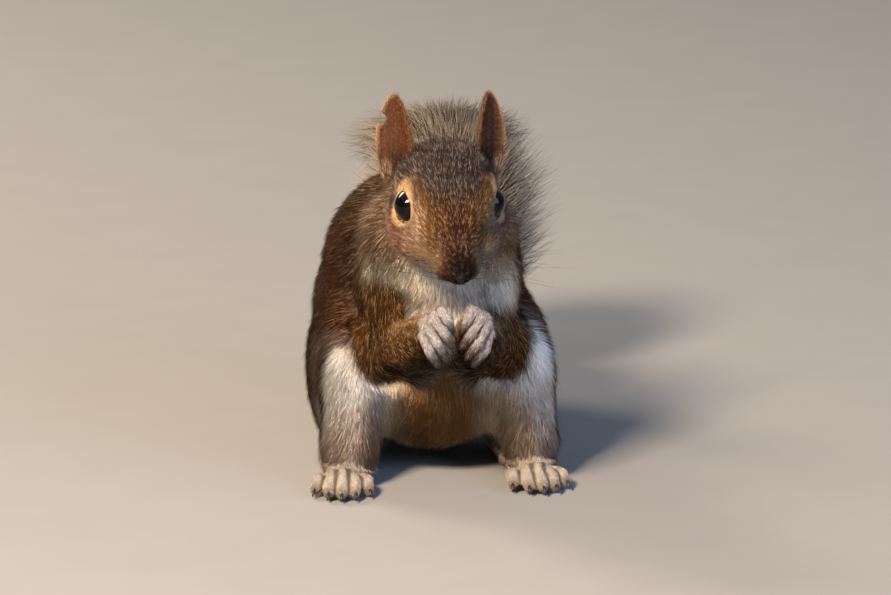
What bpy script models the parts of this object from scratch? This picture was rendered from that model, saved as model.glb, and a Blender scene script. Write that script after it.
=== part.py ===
"""Grey squirrel sitting up on its haunches, both hands at its mouth, life size.

The solids give the animal's outline out to the tips of its coat.  The body is modelled
as clay: named masses are pressed together, smoothed into one skin and then parted with
thin cuts where a person would name its parts.  Ears, eyes and tail are made on their own.

Axes: the squirrel faces -Y, +X is its left side, +Z is up.  The finished parts have
their origin on the floor, in the middle of the flat that the rump rests on.  Lengths
below are in millimetres; MM turns them into Blender's metres.
"""

import math

import bmesh
import bpy
from mathutils import Matrix, Vector

MM = 0.001
GAP = 0.5  # clear space between neighbouring parts

SEAT_Y = 44.0  # middle of the flat under the rump, where the origin goes at the end

# Driving sizes
EYE_AT = (13.4, 0.8, 0.4)  # eyeball's centre in the skull's frame, left side
EYE_AXIS = (0.885, 0.416, 0.208)  # where the eye looks, in the same frame
EYE_RADIUS = 6.0
HEAD_PITCH = 26.0  # degrees that the skull points below the horizon
HEAD_AT = (0.0, -44.0, 106.0)  # midway between the eyes
EAR_ROOT = (13.6, -26.5, 111.0)
EAR_HEIGHT = 30.5
EAR_HALF_WIDTH = 6.9
EAR_TURN = 46.0  # degrees that the cup faces outwards
EAR_THICKNESS = 1.5
EAR_BITE = 2.3  # radius of the bite missing from the right ear
TOE_COUNT = 5
FINGERS = (  # root, middle joint and tip of each finger of the left hand
    ((5.6, -63.5, 72.0), (3.7, -65.6, 69.4), (2.2, -64.2, 65.6)),
    ((8.2, -63.8, 69.6), (5.0, -66.6, 65.0), (2.4, -65.0, 60.4)),
    ((10.2, -63.2, 66.6), (7.3, -66.2, 61.2), (4.4, -64.2, 56.2)),
    ((11.6, -61.8, 63.2), (9.8, -64.4, 58.0), (7.0, -62.4, 53.2)),
)
TAIL_HALF_WIDTH = 37.0  # of the plume where it is widest
TAIL_HALF_DEPTH = 15.0
TAIL_PARTS = (("tail_root", 7), ("tail_rise", 14), ("tail_crest", 20), ("tail_tip", 27))
TAIL_RINGS = TAIL_PARTS[-1][1]
TAIL_SIDES = 16
FOOT_SPLAY = {"l": 4.0, "r": 9.0}  # degrees outwards

BODY_VOXEL = 1.7
FINE_VOXEL = 0.9
DIGIT_VOXEL = 0.5
BODY_TRIANGLES = 4400
FOOT_TRIANGLES = 900  # with the leg that it is cut from
HAND_TRIANGLES = 900  # with the arm that it is cut from
PART_SHARE = 0.52  # of a part's triangles, kept after the cuts

SIDES = (("l", 1), ("r", -1))

# Colours in linear RGB
BACK_COLOUR = (0.16, 0.10, 0.06)
BELLY_COLOUR = (0.62, 0.52, 0.40)
HAND_COLOUR = (0.42, 0.37, 0.33)
EAR_COLOUR = (0.28, 0.11, 0.05)
TAIL_COLOUR = (0.30, 0.25, 0.20)
EYE_COLOUR = (0.006, 0.005, 0.004)


# ---------------------------------------------------------------- helpers


def clear_scene():
    for obj in list(bpy.data.objects):
        bpy.data.objects.remove(obj, do_unlink=True)


def material(name, colour, roughness):
    made = bpy.data.materials.new(name)
    made.use_nodes = True
    shader = made.node_tree.nodes["Principled BSDF"]
    shader.inputs["Base Color"].default_value = (*colour, 1.0)
    shader.inputs["Roughness"].default_value = roughness
    shader.inputs["Metallic"].default_value = 0.0
    return made


def add_object(name, mesh):
    obj = bpy.data.objects.new(name, mesh)
    bpy.context.scene.collection.objects.link(obj)
    return obj


def object_from(name, bm):
    mesh = bpy.data.meshes.new(name)
    bm.to_mesh(mesh)
    bm.free()
    return add_object(name, mesh)


def settle(obj):
    """Turns the object's modifiers into its own mesh."""
    graph = bpy.context.evaluated_depsgraph_get()
    mesh = bpy.data.meshes.new_from_object(obj.evaluated_get(graph))
    obj.modifiers.clear()
    obj.data = mesh
    return obj


def boolean(obj, other, operation):
    modifier = obj.modifiers.new(operation.lower(), "BOOLEAN")
    modifier.operation = operation
    modifier.solver = "MANIFOLD"
    modifier.object = other
    return settle(obj)


def copy_of(obj, name):
    twin = obj.copy()
    twin.data = obj.data.copy()
    twin.name = name
    bpy.context.scene.collection.objects.link(twin)
    return twin


def drop(obj):
    bpy.data.objects.remove(obj, do_unlink=True)


def keep_largest(obj):
    """Removes crumbs that a cut may leave beside the main body."""
    bm = bmesh.new()
    bm.from_mesh(obj.data)
    left = set(bm.verts)
    shells = []
    while left:
        shell = set()
        front = [left.pop()]
        while front:
            vert = front.pop()
            shell.add(vert)
            for edge in vert.link_edges:
                other = edge.other_vert(vert)
                if other in left:
                    left.discard(other)
                    front.append(other)
        shells.append(shell)
    shells.sort(key=len)
    for shell in shells[:-1]:
        bmesh.ops.delete(bm, geom=list(shell), context="VERTS")
    bm.to_mesh(obj.data)
    bm.free()
    return obj


# ---------------------------------------------------------------- clay


def unit_ball(detail):
    """Corner points and triangles of a ball of radius 1."""
    bm = bmesh.new()
    bmesh.ops.create_icosphere(bm, subdivisions=detail, radius=1.0)
    points = [vert.co.copy() for vert in bm.verts]
    faces = [[vert.index for vert in face.verts] for face in bm.faces]
    bm.free()
    return points, faces


UNIT_BALLS = {detail: unit_ball(detail) for detail in (2, 3, 4)}


def lump(clay, centre, radii, turn=(0, 0, 0), detail=4, within=Matrix()):
    """Adds an ellipsoid to the clay, turned about X, Y and Z by degrees."""
    spin = Matrix()
    for axis, degrees in zip("XYZ", turn):
        spin = Matrix.Rotation(math.radians(degrees), 4, axis) @ spin
    place = Matrix.Translation(Vector(centre) * MM)
    size = Matrix.Diagonal((*(Vector(radii) * MM), 1.0))
    clay.append((within @ place @ spin @ size, detail))


def modelled(name, clay):
    """All lumps of the clay as one object, each still a closed ball."""
    points, faces = [], []
    for place, detail in clay:
        first = len(points)
        ball_points, ball_faces = UNIT_BALLS[detail]
        points.extend(place @ point for point in ball_points)
        faces.extend([first + corner for corner in face] for face in ball_faces)
    mesh = bpy.data.meshes.new(name)
    mesh.from_pydata(points, [], faces)
    return add_object(name, mesh)


def both(clay, centre, radii, turn=(0, 0, 0), within=Matrix()):
    """The same lump on the left and on the right."""
    for _, side in SIDES:
        x, y, z = centre
        rx, ry, rz = turn
        lump(clay, (side * x, y, z), radii, (rx, side * ry, side * rz), within=within)


def smooth_path(points, steps):
    """Points on a smooth curve through the given ones, steps to each stretch."""
    ends = [2 * points[0] - points[1], *points, 2 * points[-1] - points[-2]]
    path = []
    for a, b, c, d in zip(ends, ends[1:], ends[2:], ends[3:]):
        for step in range(steps):
            t = step / steps
            path.append(
                0.5
                * (
                    2 * b
                    + (c - a) * t
                    + (2 * a - 5 * b + 4 * c - d) * t**2
                    + (3 * b - 3 * c + d - a) * t**3
                )
            )
    path.append(points[-1])
    return path


def stroke(clay, stops, detail=3, within=Matrix()):
    """A tapering roll of clay through stops, each (x, y, z, radius)."""
    points = [Vector(stop) for stop in stops]
    length = sum((b - a).length for a, b in zip(points, points[1:]))
    thinnest = min(stop[3] for stop in stops)
    steps = max(3, round(length / (len(points) - 1) / (0.35 * thinnest)))
    for x, y, z, radius in smooth_path(points, steps):
        lump(clay, (x, y, z), (radius,) * 3, detail=detail, within=within)


def pressed(obj, voxel, smoothing):
    """The clay as one smooth closed surface."""
    remesh = obj.modifiers.new("remesh", "REMESH")
    remesh.mode = "VOXEL"
    remesh.voxel_size = voxel * MM
    remesh.adaptivity = 0.0
    smooth = obj.modifiers.new("smooth", "SMOOTH")
    smooth.factor = 0.5
    smooth.iterations = smoothing
    return settle(obj)


def head_frame():
    """Axes of the skull: X to its left, Y towards the nose, Z to its crown."""
    pitch = math.radians(HEAD_PITCH)
    forward = Vector((0, -math.cos(pitch), -math.sin(pitch)))
    crown = Vector((0, -math.sin(pitch), math.cos(pitch)))
    left = Vector((1, 0, 0))
    frame = Matrix((left, forward, crown)).transposed().to_4x4()
    frame.translation = Vector(HEAD_AT) * MM
    return frame


def add_trunk(clay):
    lump(clay, (0, -4, 60), (28, 33, 34))  # rib cage
    lump(clay, (0, 4, 37), (34, 36, 32))  # belly
    lump(clay, (0, 27, 64), (37, 45, 40), (-20, 0, 0))  # arched back
    lump(clay, (0, 44, 46), (38, 42, 42))  # loins
    lump(clay, (0, SEAT_Y, 34), (38, 42, 36))  # rump
    lump(clay, (0, 70, 18), (17, 20, 16))  # root of the tail
    lump(clay, (0, 4, 86), (23, 30, 24))  # withers
    both(clay, (11, -14, 88), (18, 21, 18))  # ruff of the neck
    both(clay, (16, -9, 72), (14, 18, 20))  # shoulders
    lump(clay, (0, -19, 99), (19, 22, 20))  # nape


def add_head(clay, frame):
    """Masses in the skull's frame: across, towards the nose, towards the crown."""
    lump(clay, (0, -9, -0.5), (18.5, 20, 16.5), within=frame)  # cranium
    lump(clay, (0, 4, 1.5), (16.5, 17, 12.5), within=frame)  # forehead
    stroke(
        clay,
        ((0, 6, -2, 12.5), (0, 17, -4.5, 9.8), (0, 27, -6.5, 6.7)),
        within=frame,
    )  # bridge of the nose
    lump(clay, (0, 31.5, -6.3), (4.7, 5.5, 4.7), within=frame)  # nose
    stroke(
        clay,
        ((0, -6, -14, 11), (0, 10, -14.5, 8), (0, 22, -14, 5)),
        within=frame,
    )  # lower jaw
    both(clay, (4.2, 21.5, -9.5), (5.6, 9, 5.8), within=frame)  # whisker pads
    both(clay, (9, 8, -8), (9.5, 13, 9), within=frame)  # under the eyes
    both(clay, (12, -3, -10.5), (10, 15, 11.5), within=frame)  # cheeks
    both(clay, (11.5, 0, 6.5), (6, 10, 5.5), within=frame)  # brows


def add_leg(clay, side):
    lump(clay, (side * 29.5, 10, 33), (14.5, 35, 31))  # thigh
    lump(clay, (side * 29.5, -15, 36), (13.5, 18, 21))  # knee
    lump(clay, (side * 32, -19, 15), (12, 17, 17))  # shank


def add_arm(clay, side):
    elbow = (side * 13.0, -30, 51.5, 10.3)
    stroke(clay, ((side * 18, -13, 70, 12.5), elbow))
    stroke(clay, (elbow, (side * 11, -43, 56, 8.8), (side * 7.8, -55, 63, 6.2)))


def foot_line(tag, side):
    """Heel, ball and forward direction of a hind foot."""
    splay = math.radians(FOOT_SPLAY[tag])
    ahead = Vector((side * math.sin(splay), -math.cos(splay), 0))
    heel = Vector((side * 28, 20, 7))
    ball = heel + ahead * 56
    ball.z = 5.2
    return heel, ball, ahead


def add_foot(clay, tag, side):
    """Long sole from the heel to the ball, then a fan of toes."""
    heel, ball, ahead = foot_line(tag, side)
    stroke(clay, ((*heel, 7.5), (*((heel + ball) / 2), 7.5), (*ball, 6.0)))
    across = Vector((-ahead.y, ahead.x, 0)) * side
    for toe in range(TOE_COUNT):
        spread = toe - (TOE_COUNT - 1) / 2
        reach = 14.5 - 1.6 * spread**2
        root = ball + across * spread * 3.9 - ahead * 1.5
        middle = root + ahead * reach * 0.6 + across * spread * 0.5
        tip = root + ahead * reach + across * spread * 0.9
        root.z, middle.z, tip.z = 4.2, 4.6, 2.7
        stroke(clay, ((*root, 3.0), (*middle, 2.7), (*tip, 2.2)))


def add_hand(clay, side):
    """A narrow palm with its fingers bent down and in, towards the other hand."""
    wrist = Vector((side * 7.8, -56, 65))
    knuckles = Vector((side * 8.9, -61.3, 67.4))
    lump(clay, (wrist + knuckles) / 2, (4.6, 5.2, 5.0))
    lump(clay, knuckles, (4.4, 3.0, 4.8))
    for finger in FINGERS:
        root, middle, tip = (Vector((side * x, y, z)) for x, y, z in finger)
        stroke(clay, ((*root, 1.75), (*middle, 1.65), (*tip, 1.3)))


def join(target, other):
    """Adds the other object's mesh to the target's."""
    bm = bmesh.new()
    bm.from_mesh(target.data)
    bm.from_mesh(other.data)
    bm.to_mesh(target.data)
    bm.free()
    drop(other)


def make_body():
    """Trunk, head, arms and legs, as one closed mesh."""
    masses, features = [], []
    add_trunk(masses)
    add_head(features, head_frame())
    for _, side in SIDES:
        add_leg(masses, side)
        add_arm(masses, side)
    body = pressed(modelled("body", masses), BODY_VOXEL, 14)
    join(body, pressed(modelled("skull", features), FINE_VOXEL, 8))
    return thinned_to(pressed(body, FINE_VOXEL, 2), BODY_TRIANGLES)


def make_hand(tag, side):
    """A hand on the end of its arm, made as the left one."""
    clay = []
    add_arm(clay, 1)
    add_hand(clay, 1)
    hand = pressed(modelled("hand_" + tag, clay), DIGIT_VOXEL, 1)
    thinned_to(hand, HAND_TRIANGLES)
    if side < 0:
        hand.data.transform(Matrix.Diagonal((-1, 1, 1, 1)))
        hand.data.flip_normals()
    return hand


def make_foot(tag, side):
    """A foot under its leg."""
    clay = []
    add_leg(clay, side)
    add_foot(clay, tag, side)
    return thinned_to(pressed(modelled("foot_" + tag, clay), DIGIT_VOXEL, 3), FOOT_TRIANGLES)


def triangles_of(obj):
    return sum(len(face.vertices) - 2 for face in obj.data.polygons)


def thinned_to(obj, triangles):
    """Fewer triangles, spent where the surface bends most."""
    decimate = obj.modifiers.new("decimate", "DECIMATE")
    decimate.ratio = min(1.0, triangles / triangles_of(obj))
    return settle(obj)


def floor_cut(obj):
    """Takes off what is under the floor, which leaves flats at one level."""
    if min(vert.co.z for vert in obj.data.vertices) > 0:
        return obj
    bm = bmesh.new()
    bmesh.ops.create_cube(
        bm,
        size=1.0,
        matrix=Matrix.Translation((0, 0, -0.1)) @ Matrix.Diagonal((1, 1, 0.2, 1)),
    )
    cutter = object_from("floor", bm)
    boolean(obj, cutter, "DIFFERENCE")
    drop(cutter)
    return keep_largest(obj)


# ---------------------------------------------------------------- parting


def hull_cutter(balls, grow):
    """A convex cutter round balls, each (x, y, z, rx, ry, rz)."""
    clay = []
    for x, y, z, rx, ry, rz in balls:
        lump(clay, (x, y, z), (rx + grow, ry + grow, rz + grow), detail=2)
    bm = bmesh.new()
    for place, detail in clay:
        for point in UNIT_BALLS[detail][0]:
            bm.verts.new(place @ point)
    bmesh.ops.convex_hull(bm, input=bm.verts)
    bmesh.ops.delete(
        bm, geom=[vert for vert in bm.verts if not vert.link_faces], context="VERTS"
    )
    bmesh.ops.recalc_face_normals(bm, faces=bm.faces)
    return object_from("cutter", bm)


def part_off(body, name, balls, finer=None):
    """Takes the part inside the balls' hull from the body, with a thin gap.
    Where a finer model of the part is given, that one is kept."""
    part = finer or copy_of(body, name)
    tight = hull_cutter(balls, 0.0)
    boolean(part, tight, "INTERSECT")
    keep_largest(part)
    drop(tight)
    wide = hull_cutter(balls, GAP)
    boolean(body, wide, "DIFFERENCE")
    keep_largest(body)
    drop(wide)
    return part


def at(frame, across, ahead, up, radii):
    """A ball given in the skull's frame, as a ball in the body's frame."""
    place = frame @ (Vector((across, ahead, up)) * MM) / MM
    return (*place, *radii)


def part_body(body):
    """Hands, arms, feet and thighs come off first, then the head and the neck."""
    parts = {}
    for tag, side in SIDES:
        parts["hand_" + tag] = part_off(
            body,
            "hand_" + tag,
            ((side * 8.2, -63, 69, 8, 6.5, 8), (side * 8.2, -65, 56, 8, 7, 9)),
            make_hand(tag, side),
        )
        parts["forearm_" + tag] = part_off(
            body,
            "forearm_" + tag,
            ((side * 14, -33, 49, 13, 12, 14), (side * 9, -57, 63, 9, 9, 9)),
        )
        parts["upper_arm_" + tag] = part_off(
            body,
            "upper_arm_" + tag,
            ((side * 22, -16, 70, 13, 13, 14), (side * 19, -27, 52, 12, 13, 15)),
        )
        heel, ball, ahead = foot_line(tag, side)
        parts["foot_" + tag] = part_off(
            body,
            "foot_" + tag,
            (
                (heel.x, heel.y + 2, 0, 12, 12, 9),
                (ball.x, ball.y, 0, 14, 12, 10),
                (*(ball + ahead * 15).to_2d(), 0, 16, 14, 10),
            ),
            make_foot(tag, side),
        )
        parts["thigh_" + tag] = part_off(
            body,
            "thigh_" + tag,
            (
                (side * 40, 12, 30, 20, 36, 36),
                (side * 38, -16, 36, 18, 22, 25),
                (side * 38, -22, 10, 18, 22, 16),
            ),
        )
    frame = head_frame()
    parts["head"] = part_off(
        body,
        "head",
        (
            at(frame, 0, -7, 1, (26, 18, 24)),
            at(frame, 0, 10, -6, (24, 16, 24)),
            at(frame, 0, 32, -8, (14, 14, 14)),
        ),
    )
    parts["neck"] = part_off(body, "neck", ((0, -20, 94, 36, 24, 30),))
    body.name = "trunk"
    parts["trunk"] = body
    return parts


# ---------------------------------------------------------------- eyes and ears


def ball_object(name, centre, radius, detail=2):
    clay = []
    lump(clay, centre, (radius,) * 3, detail=detail)
    return modelled(name, clay)


def add_eye(tag, side, frame, head):
    """An eyeball, the socket that it sits in and the opening between the lids."""
    across, ahead, up = EYE_AT
    centre = frame @ (Vector((side * across, ahead, up)) * MM) / MM
    axis = frame.to_3x3() @ Vector((side * EYE_AXIS[0], EYE_AXIS[1], EYE_AXIS[2]))
    opening = ball_object("opening", centre + axis * 4.2, 5.6)
    socket = ball_object("socket", centre, 1.07 * (EYE_RADIUS + GAP))
    for cutter in (opening, socket):
        boolean(head, cutter, "DIFFERENCE")
        drop(cutter)
    keep_largest(head)
    return ball_object("eye_" + tag, centre, EYE_RADIUS, 3)


def ear_point(up, across, side, grow=0.0):
    """A point of the cupped ear: up from 0 at its root to 1 at its tip, across from
    -1 at the front edge to 1 at the back edge, in millimetres from its root."""
    tip = (1 - up**3.6) ** 0.55
    half_width = EAR_HALF_WIDTH * tip * (0.80 + 0.36 * math.sin(math.pi * up) ** 0.8)
    half_width += grow
    bend = math.radians(62) * (1 - 0.45 * up)
    curl = bend * across
    cup = half_width / math.sin(bend)
    out = cup * math.sin(curl)
    back = cup * (1 - math.cos(curl)) - 2.0 * up * (1 - up)
    return Vector((side * out, -back, up * EAR_HEIGHT))


def ear_shell(name, side, place, grow):
    """The curved sheet of an ear, given a wall."""
    rows, columns = 9, 6
    bm = bmesh.new()
    grid = []
    for row in range(rows + 1):
        up = 0.985 * (row / rows) ** 0.9
        grid.append(
            [
                bm.verts.new(ear_point(up, 2 * column / columns - 1, side, grow) * MM)
                for column in range(columns + 1)
            ]
        )
    for low, high in zip(grid, grid[1:]):
        for a, b, c, d in zip(low, low[1:], high[1:], high):
            bm.faces.new((a, b, c, d) if side > 0 else (d, c, b, a))
    ear = object_from(name, bm)
    ear.data.transform(place)
    wall = ear.modifiers.new("thickness", "SOLIDIFY")
    wall.thickness = (EAR_THICKNESS + 2 * grow) * MM
    wall.offset = 0.0
    return settle(ear)


def add_ear(tag, side, head):
    """A thin curved shell, open to the front and outwards, set in a slot in the head."""
    across, ahead, up = EAR_ROOT
    place = (
        Matrix.Translation(Vector((side * across, ahead, up)) * MM)
        @ Matrix.Rotation(math.radians(side * 6), 4, "Y")
        @ Matrix.Rotation(math.radians(-4), 4, "X")
        @ Matrix.Rotation(math.radians(side * EAR_TURN), 4, "Z")
    )
    slot = ear_shell("slot", side, place, 1.5 * GAP)
    slot.data.transform(Matrix.Translation((0, 0, -GAP * MM)))
    boolean(head, slot, "DIFFERENCE")
    keep_largest(head)
    drop(slot)
    ear = ear_shell("ear_" + tag, side, place, 0.0)
    if tag == "r":
        bite_at = place @ (ear_point(0.72, 1.05, side) * MM) / MM
        bite = ball_object("bite", bite_at, EAR_BITE)
        boolean(ear, bite, "DIFFERENCE")
        drop(bite)
    return keep_largest(ear)


# ---------------------------------------------------------------- tail


def tail_path():
    """Centre of the tail from its root, up behind the back and over at the top."""
    stops = (
        (0, 74, 15),
        (9, 95, 24),
        (18, 101, 44),
        (20, 93, 64),
        (19.5, 86, 80),
        (19, 90, 92),
        (18.5, 103, 99),
        (18, 117, 94),
        (17.5, 125, 81),
        (17, 128, 64),
    )
    fine = smooth_path([Vector(stop) for stop in stops], 12)
    lengths = [0.0]
    for a, b in zip(fine, fine[1:]):
        lengths.append(lengths[-1] + (b - a).length)
    even = []
    for ring in range(TAIL_RINGS + 1):
        goal = lengths[-1] * ring / TAIL_RINGS
        after = next(i for i, run in enumerate(lengths) if run >= goal - 1e-6)
        if after == 0:
            even.append(fine[0])
            continue
        share = (goal - lengths[after - 1]) / (lengths[after] - lengths[after - 1])
        even.append(fine[after - 1].lerp(fine[after], share))
    return even


def plume(along):
    """Half width and half depth of the tail's hair at a share of its length."""
    rise = min(1.0, 0.40 + 1.5 * along) - 0.2 * math.exp(-(((along - 0.7) / 0.08) ** 2))
    close = math.sqrt(max(0.0, 1 - max(0.0, (along - 0.72) / 0.28) ** 2))
    half_depth = TAIL_HALF_DEPTH - 5.0 * along
    return max(1.0, TAIL_HALF_WIDTH * rise * close), max(1.0, half_depth * close)


def add_tail(name, first, last, grow=0.0):
    """The plume from one ring of its path to another, out to the tips of its hair."""
    path = tail_path()
    bm = bmesh.new()
    rings = []
    for index in range(first, last + 1):
        before = path[max(0, index - 1)]
        after = path[min(len(path) - 1, index + 1)]
        ahead = (after - before).normalized()
        across = (Vector((1, 0, 0)) - ahead * ahead.x).normalized()
        deep = ahead.cross(across)
        shift = {first: GAP / 2 - grow, last: grow - GAP / 2}.get(index, 0.0)
        half_width, half_depth = plume(index / TAIL_RINGS)
        ring = []
        for step in range(TAIL_SIDES):
            angle = 2 * math.pi * step / TAIL_SIDES
            offset = across * math.cos(angle) * (half_width + grow)
            offset += deep * math.sin(angle) * (half_depth + grow)
            ring.append(bm.verts.new((path[index] + ahead * shift + offset) * MM))
        rings.append(ring)
    for low, high in zip(rings, rings[1:]):
        for step in range(TAIL_SIDES):
            following = (step + 1) % TAIL_SIDES
            bm.faces.new((low[step], low[following], high[following], high[step]))
    bm.faces.new(list(reversed(rings[0])))
    bm.faces.new(rings[-1])
    bmesh.ops.recalc_face_normals(bm, faces=bm.faces)
    return object_from(name, bm)


# ---------------------------------------------------------------- assembly


def finish(obj, finish_of):
    obj.data.transform(Matrix.Translation((0, -SEAT_Y * MM, 0)))
    triangulate = obj.modifiers.new("triangulate", "TRIANGULATE")
    triangulate.min_vertices = 4
    settle(obj)
    obj.data.materials.clear()
    obj.data.materials.append(finish_of)
    obj.data.shade_smooth()
    obj.data.set_sharp_from_angle(angle=math.radians(50))


def main():
    clear_scene()
    coat = material("back_fur", BACK_COLOUR, 0.9)
    belly = material("belly_fur", BELLY_COLOUR, 0.9)
    hand = material("hand_fur", HAND_COLOUR, 0.8)
    ear_skin = material("ear_skin", EAR_COLOUR, 0.7)
    tail_hair = material("tail_hair", TAIL_COLOUR, 0.9)
    eye = material("eye", EYE_COLOUR, 0.05)

    parts = part_body(make_body())
    for name, part in parts.items():
        if not name.startswith(("hand", "foot")):
            thinned_to(part, PART_SHARE * triangles_of(part))
    around_tail = add_tail("around_tail", 0, TAIL_RINGS, 2 * GAP)
    boolean(parts["trunk"], around_tail, "DIFFERENCE")
    drop(around_tail)
    frame = head_frame()
    for tag, side in SIDES:
        finish(add_eye(tag, side, frame, parts["head"]), eye)
    for tag, side in SIDES:
        finish(add_ear(tag, side, parts["head"]), ear_skin)
    first = 0
    for name, last in TAIL_PARTS:
        finish(add_tail(name, first, last), tail_hair)
        first = last
    looks = {"hand": hand, "foot": hand, "thigh": belly}
    for name, part in parts.items():
        finish(floor_cut(part), looks.get(name.split("_")[0], coat))


main()
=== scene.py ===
"""Grey squirrel sitting up: skin, eyes, claws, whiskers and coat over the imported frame."""

import math

import bpy
import numpy as np
from mathutils import Matrix, Vector
from mathutils.bvhtree import BVHTree


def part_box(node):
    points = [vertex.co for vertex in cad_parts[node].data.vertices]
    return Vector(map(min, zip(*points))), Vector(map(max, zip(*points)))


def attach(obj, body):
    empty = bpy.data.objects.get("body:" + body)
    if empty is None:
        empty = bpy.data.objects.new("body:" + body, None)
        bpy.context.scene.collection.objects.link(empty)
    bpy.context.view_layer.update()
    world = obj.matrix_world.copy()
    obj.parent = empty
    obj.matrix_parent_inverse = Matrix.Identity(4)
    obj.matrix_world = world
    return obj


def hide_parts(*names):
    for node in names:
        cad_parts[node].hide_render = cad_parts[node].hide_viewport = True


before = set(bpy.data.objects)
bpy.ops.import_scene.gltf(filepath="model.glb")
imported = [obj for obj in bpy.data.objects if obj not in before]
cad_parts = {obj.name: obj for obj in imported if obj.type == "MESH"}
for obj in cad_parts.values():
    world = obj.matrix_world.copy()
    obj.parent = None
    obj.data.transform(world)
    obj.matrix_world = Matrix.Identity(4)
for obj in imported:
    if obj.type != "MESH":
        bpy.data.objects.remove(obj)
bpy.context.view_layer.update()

bl_info = {
    "name": "Sitting Grey Squirrel", "version": (1, 0, 0), "blender": (4, 5, 0),
    "location": "View3D > Sidebar > Squirrel",
    "description": "Builds the skin, eyes, claws, whiskers and coat of a grey squirrel",
    "category": "Object",
}

MM = 0.001
SIDES = (("l", 1), ("r", -1))
# For each part: depth of the coat over the skin and how far the solid is swollen so that it
# meets its neighbours before they fuse; then length and width of a hair, all in millimetres,
# its lift in degrees, and tufts a square millimetre
BODY = {
    "trunk": (2.4, 0.55, 7.2, 0.25, 10, 4.1),
    "neck": (2.1, 0.55, 7.2, 0.25, 14, 5.2),
    "head": (0.9, 0.7, 3.8, 0.19, 14, 8.4),
    "upper_arm": (1.6, 0.55, 5.8, 0.22, 13, 6.6),
    "forearm": (1.3, 0.55, 4.6, 0.20, 13, 7.4),
    "hand": (0.3, 0.0, 2.2, 0.17, 12, 8.5),
    "thigh": (2.2, 0.55, 7.2, 0.25, 10.5, 4.8),
    "foot": (0.4, 0.0, 2.0, 0.15, 9, 6.0),
    "ear": (0.1, 0.05, 1.7, 0.11, 11, 5.5),
    "eye": (0.0, 0.6, 1.0, 0.14, 12, 12.0),
    "tail": (0.0, 0.0, 9.0, 0.35, 30, 1.0),
}
FLESH = tuple(BODY)
TAIL_NODES = ("tail_root", "tail_rise", "tail_crest", "tail_tip")
# Middle line of the tail from its root to its tip, in millimetres
TAIL_STOPS = (
    (0, 30, 15), (9, 51, 24), (18, 57, 44), (20, 49, 64), (19.5, 42, 80),
    (19, 46, 92), (18.5, 59, 99), (18, 73, 94), (17.5, 81, 81), (17, 84, 64),
)
TAIL_HALF_WIDTH, TAIL_HALF_DEPTH = 37.0, 15.0  # of its combed hair, in millimetres
HEAD_PITCH = 26.0  # degrees that the nose points down
EYE_IN_HEAD = (13.4, 0.8, 0.4)  # in the skull's axes, in millimetres
EYE_AXIS = (0.885, 0.416, 0.208)
EAR_ROOT = (13.6, -70.5, 111)  # of the left ear, in millimetres
EAR_TURN = (6, -4, 46)  # leans outwards, leans forwards and opens outwards, in degrees
EAR_HEIGHT, EAR_HALF_WIDTH = 30.5, 6.9  # in millimetres
MOST_FACES = 200000  # in one piece of hair
DARK_BELOW, PALE_ABOVE = -0.42, 0.46  # where the scattered fleck makes a hair's end dark or pale
TAIL_RUN = 0.158  # about the length of the tail's middle line, in metres
TAIL_STEPS = 240  # points along that line for combing its hair
CORE_BALLS = 60  # and for the balls of its slim core
MIDDLE_OF_TRUNK = -0.018  # along Y, where its coat is parted into pieces, in metres
STAGE_SIZE = 12.0
VIEW_TURN = -8  # of the camera round the animal, in degrees
VIEW_RISE = 14  # of the camera over the floor, in degrees
VIEW_DISTANCE = 3.5
VIEW_AIM = (0.00482, -0.044, 0.05929)  # across the view, along Y and up the view, in metres
VIEW_WIDTH = 891 / 2800  # metres across the view at the animal
SENSOR = 36.0
# Root, middle joint and tip of each finger of the left hand, in millimetres
FINGERS = (
    ((5.6, -107.5, 72.0), (3.7, -109.6, 69.4), (2.2, -108.2, 65.6)),
    ((8.2, -107.8, 69.6), (5.0, -110.6, 65.0), (2.4, -109.0, 60.4)),
    ((10.2, -107.2, 66.6), (7.3, -110.2, 61.2), (4.4, -108.2, 56.2)),
    ((11.6, -105.8, 63.2), (9.8, -108.4, 58.0), (7.0, -106.4, 53.2)),
)


def linear(code):
    """Linear RGB of an sRGB hex colour."""
    parts = [int(code[i : i + 2], 16) / 255 for i in (0, 2, 4)]
    return tuple(c / 12.92 if c < 0.04045 else ((c + 0.055) / 1.055) ** 2.4 for c in parts)


def step(low, high, value):
    """0 below low, 1 above high and a smooth rise between; low may be the greater."""
    t = np.clip((value - low) / (high - low), 0.0, 1.0)
    return t * t * (3 - 2 * t)


# ------------------------------------------------------------------ settings


def colour(name, description, code):
    return bpy.props.FloatVectorProperty(
        name=name, description=description, subtype="COLOR", default=linear(code), min=0, max=1
    )


def measure(name, description, size, least):
    return bpy.props.FloatProperty(
        name=name, description=description, default=size * MM, min=least * MM,
        precision=5, subtype="DISTANCE", unit="LENGTH",
    )


class SquirrelSkinSettings(bpy.types.PropertyGroup):
    voxel: measure("Voxel", "Grain at which the parts of the body are fused", 0.5, 0.2)
    triangles: bpy.props.IntProperty(
        name="Triangles", description="Size of the finished skin", default=150000, min=20000
    )
    core: measure("Tail core", "Radius of the tail under its hair", 5.0, 1.0)
    eye: measure("Eye", "Radius of the eyeball", 6.0, 3.0)
    opening: bpy.props.FloatVectorProperty(
        name="Eye opening", description="Half length and half height between the lids",
        size=2, default=(5.6 * MM, 5.3 * MM), subtype="XYZ_LENGTH", unit="LENGTH",
    )


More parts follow.
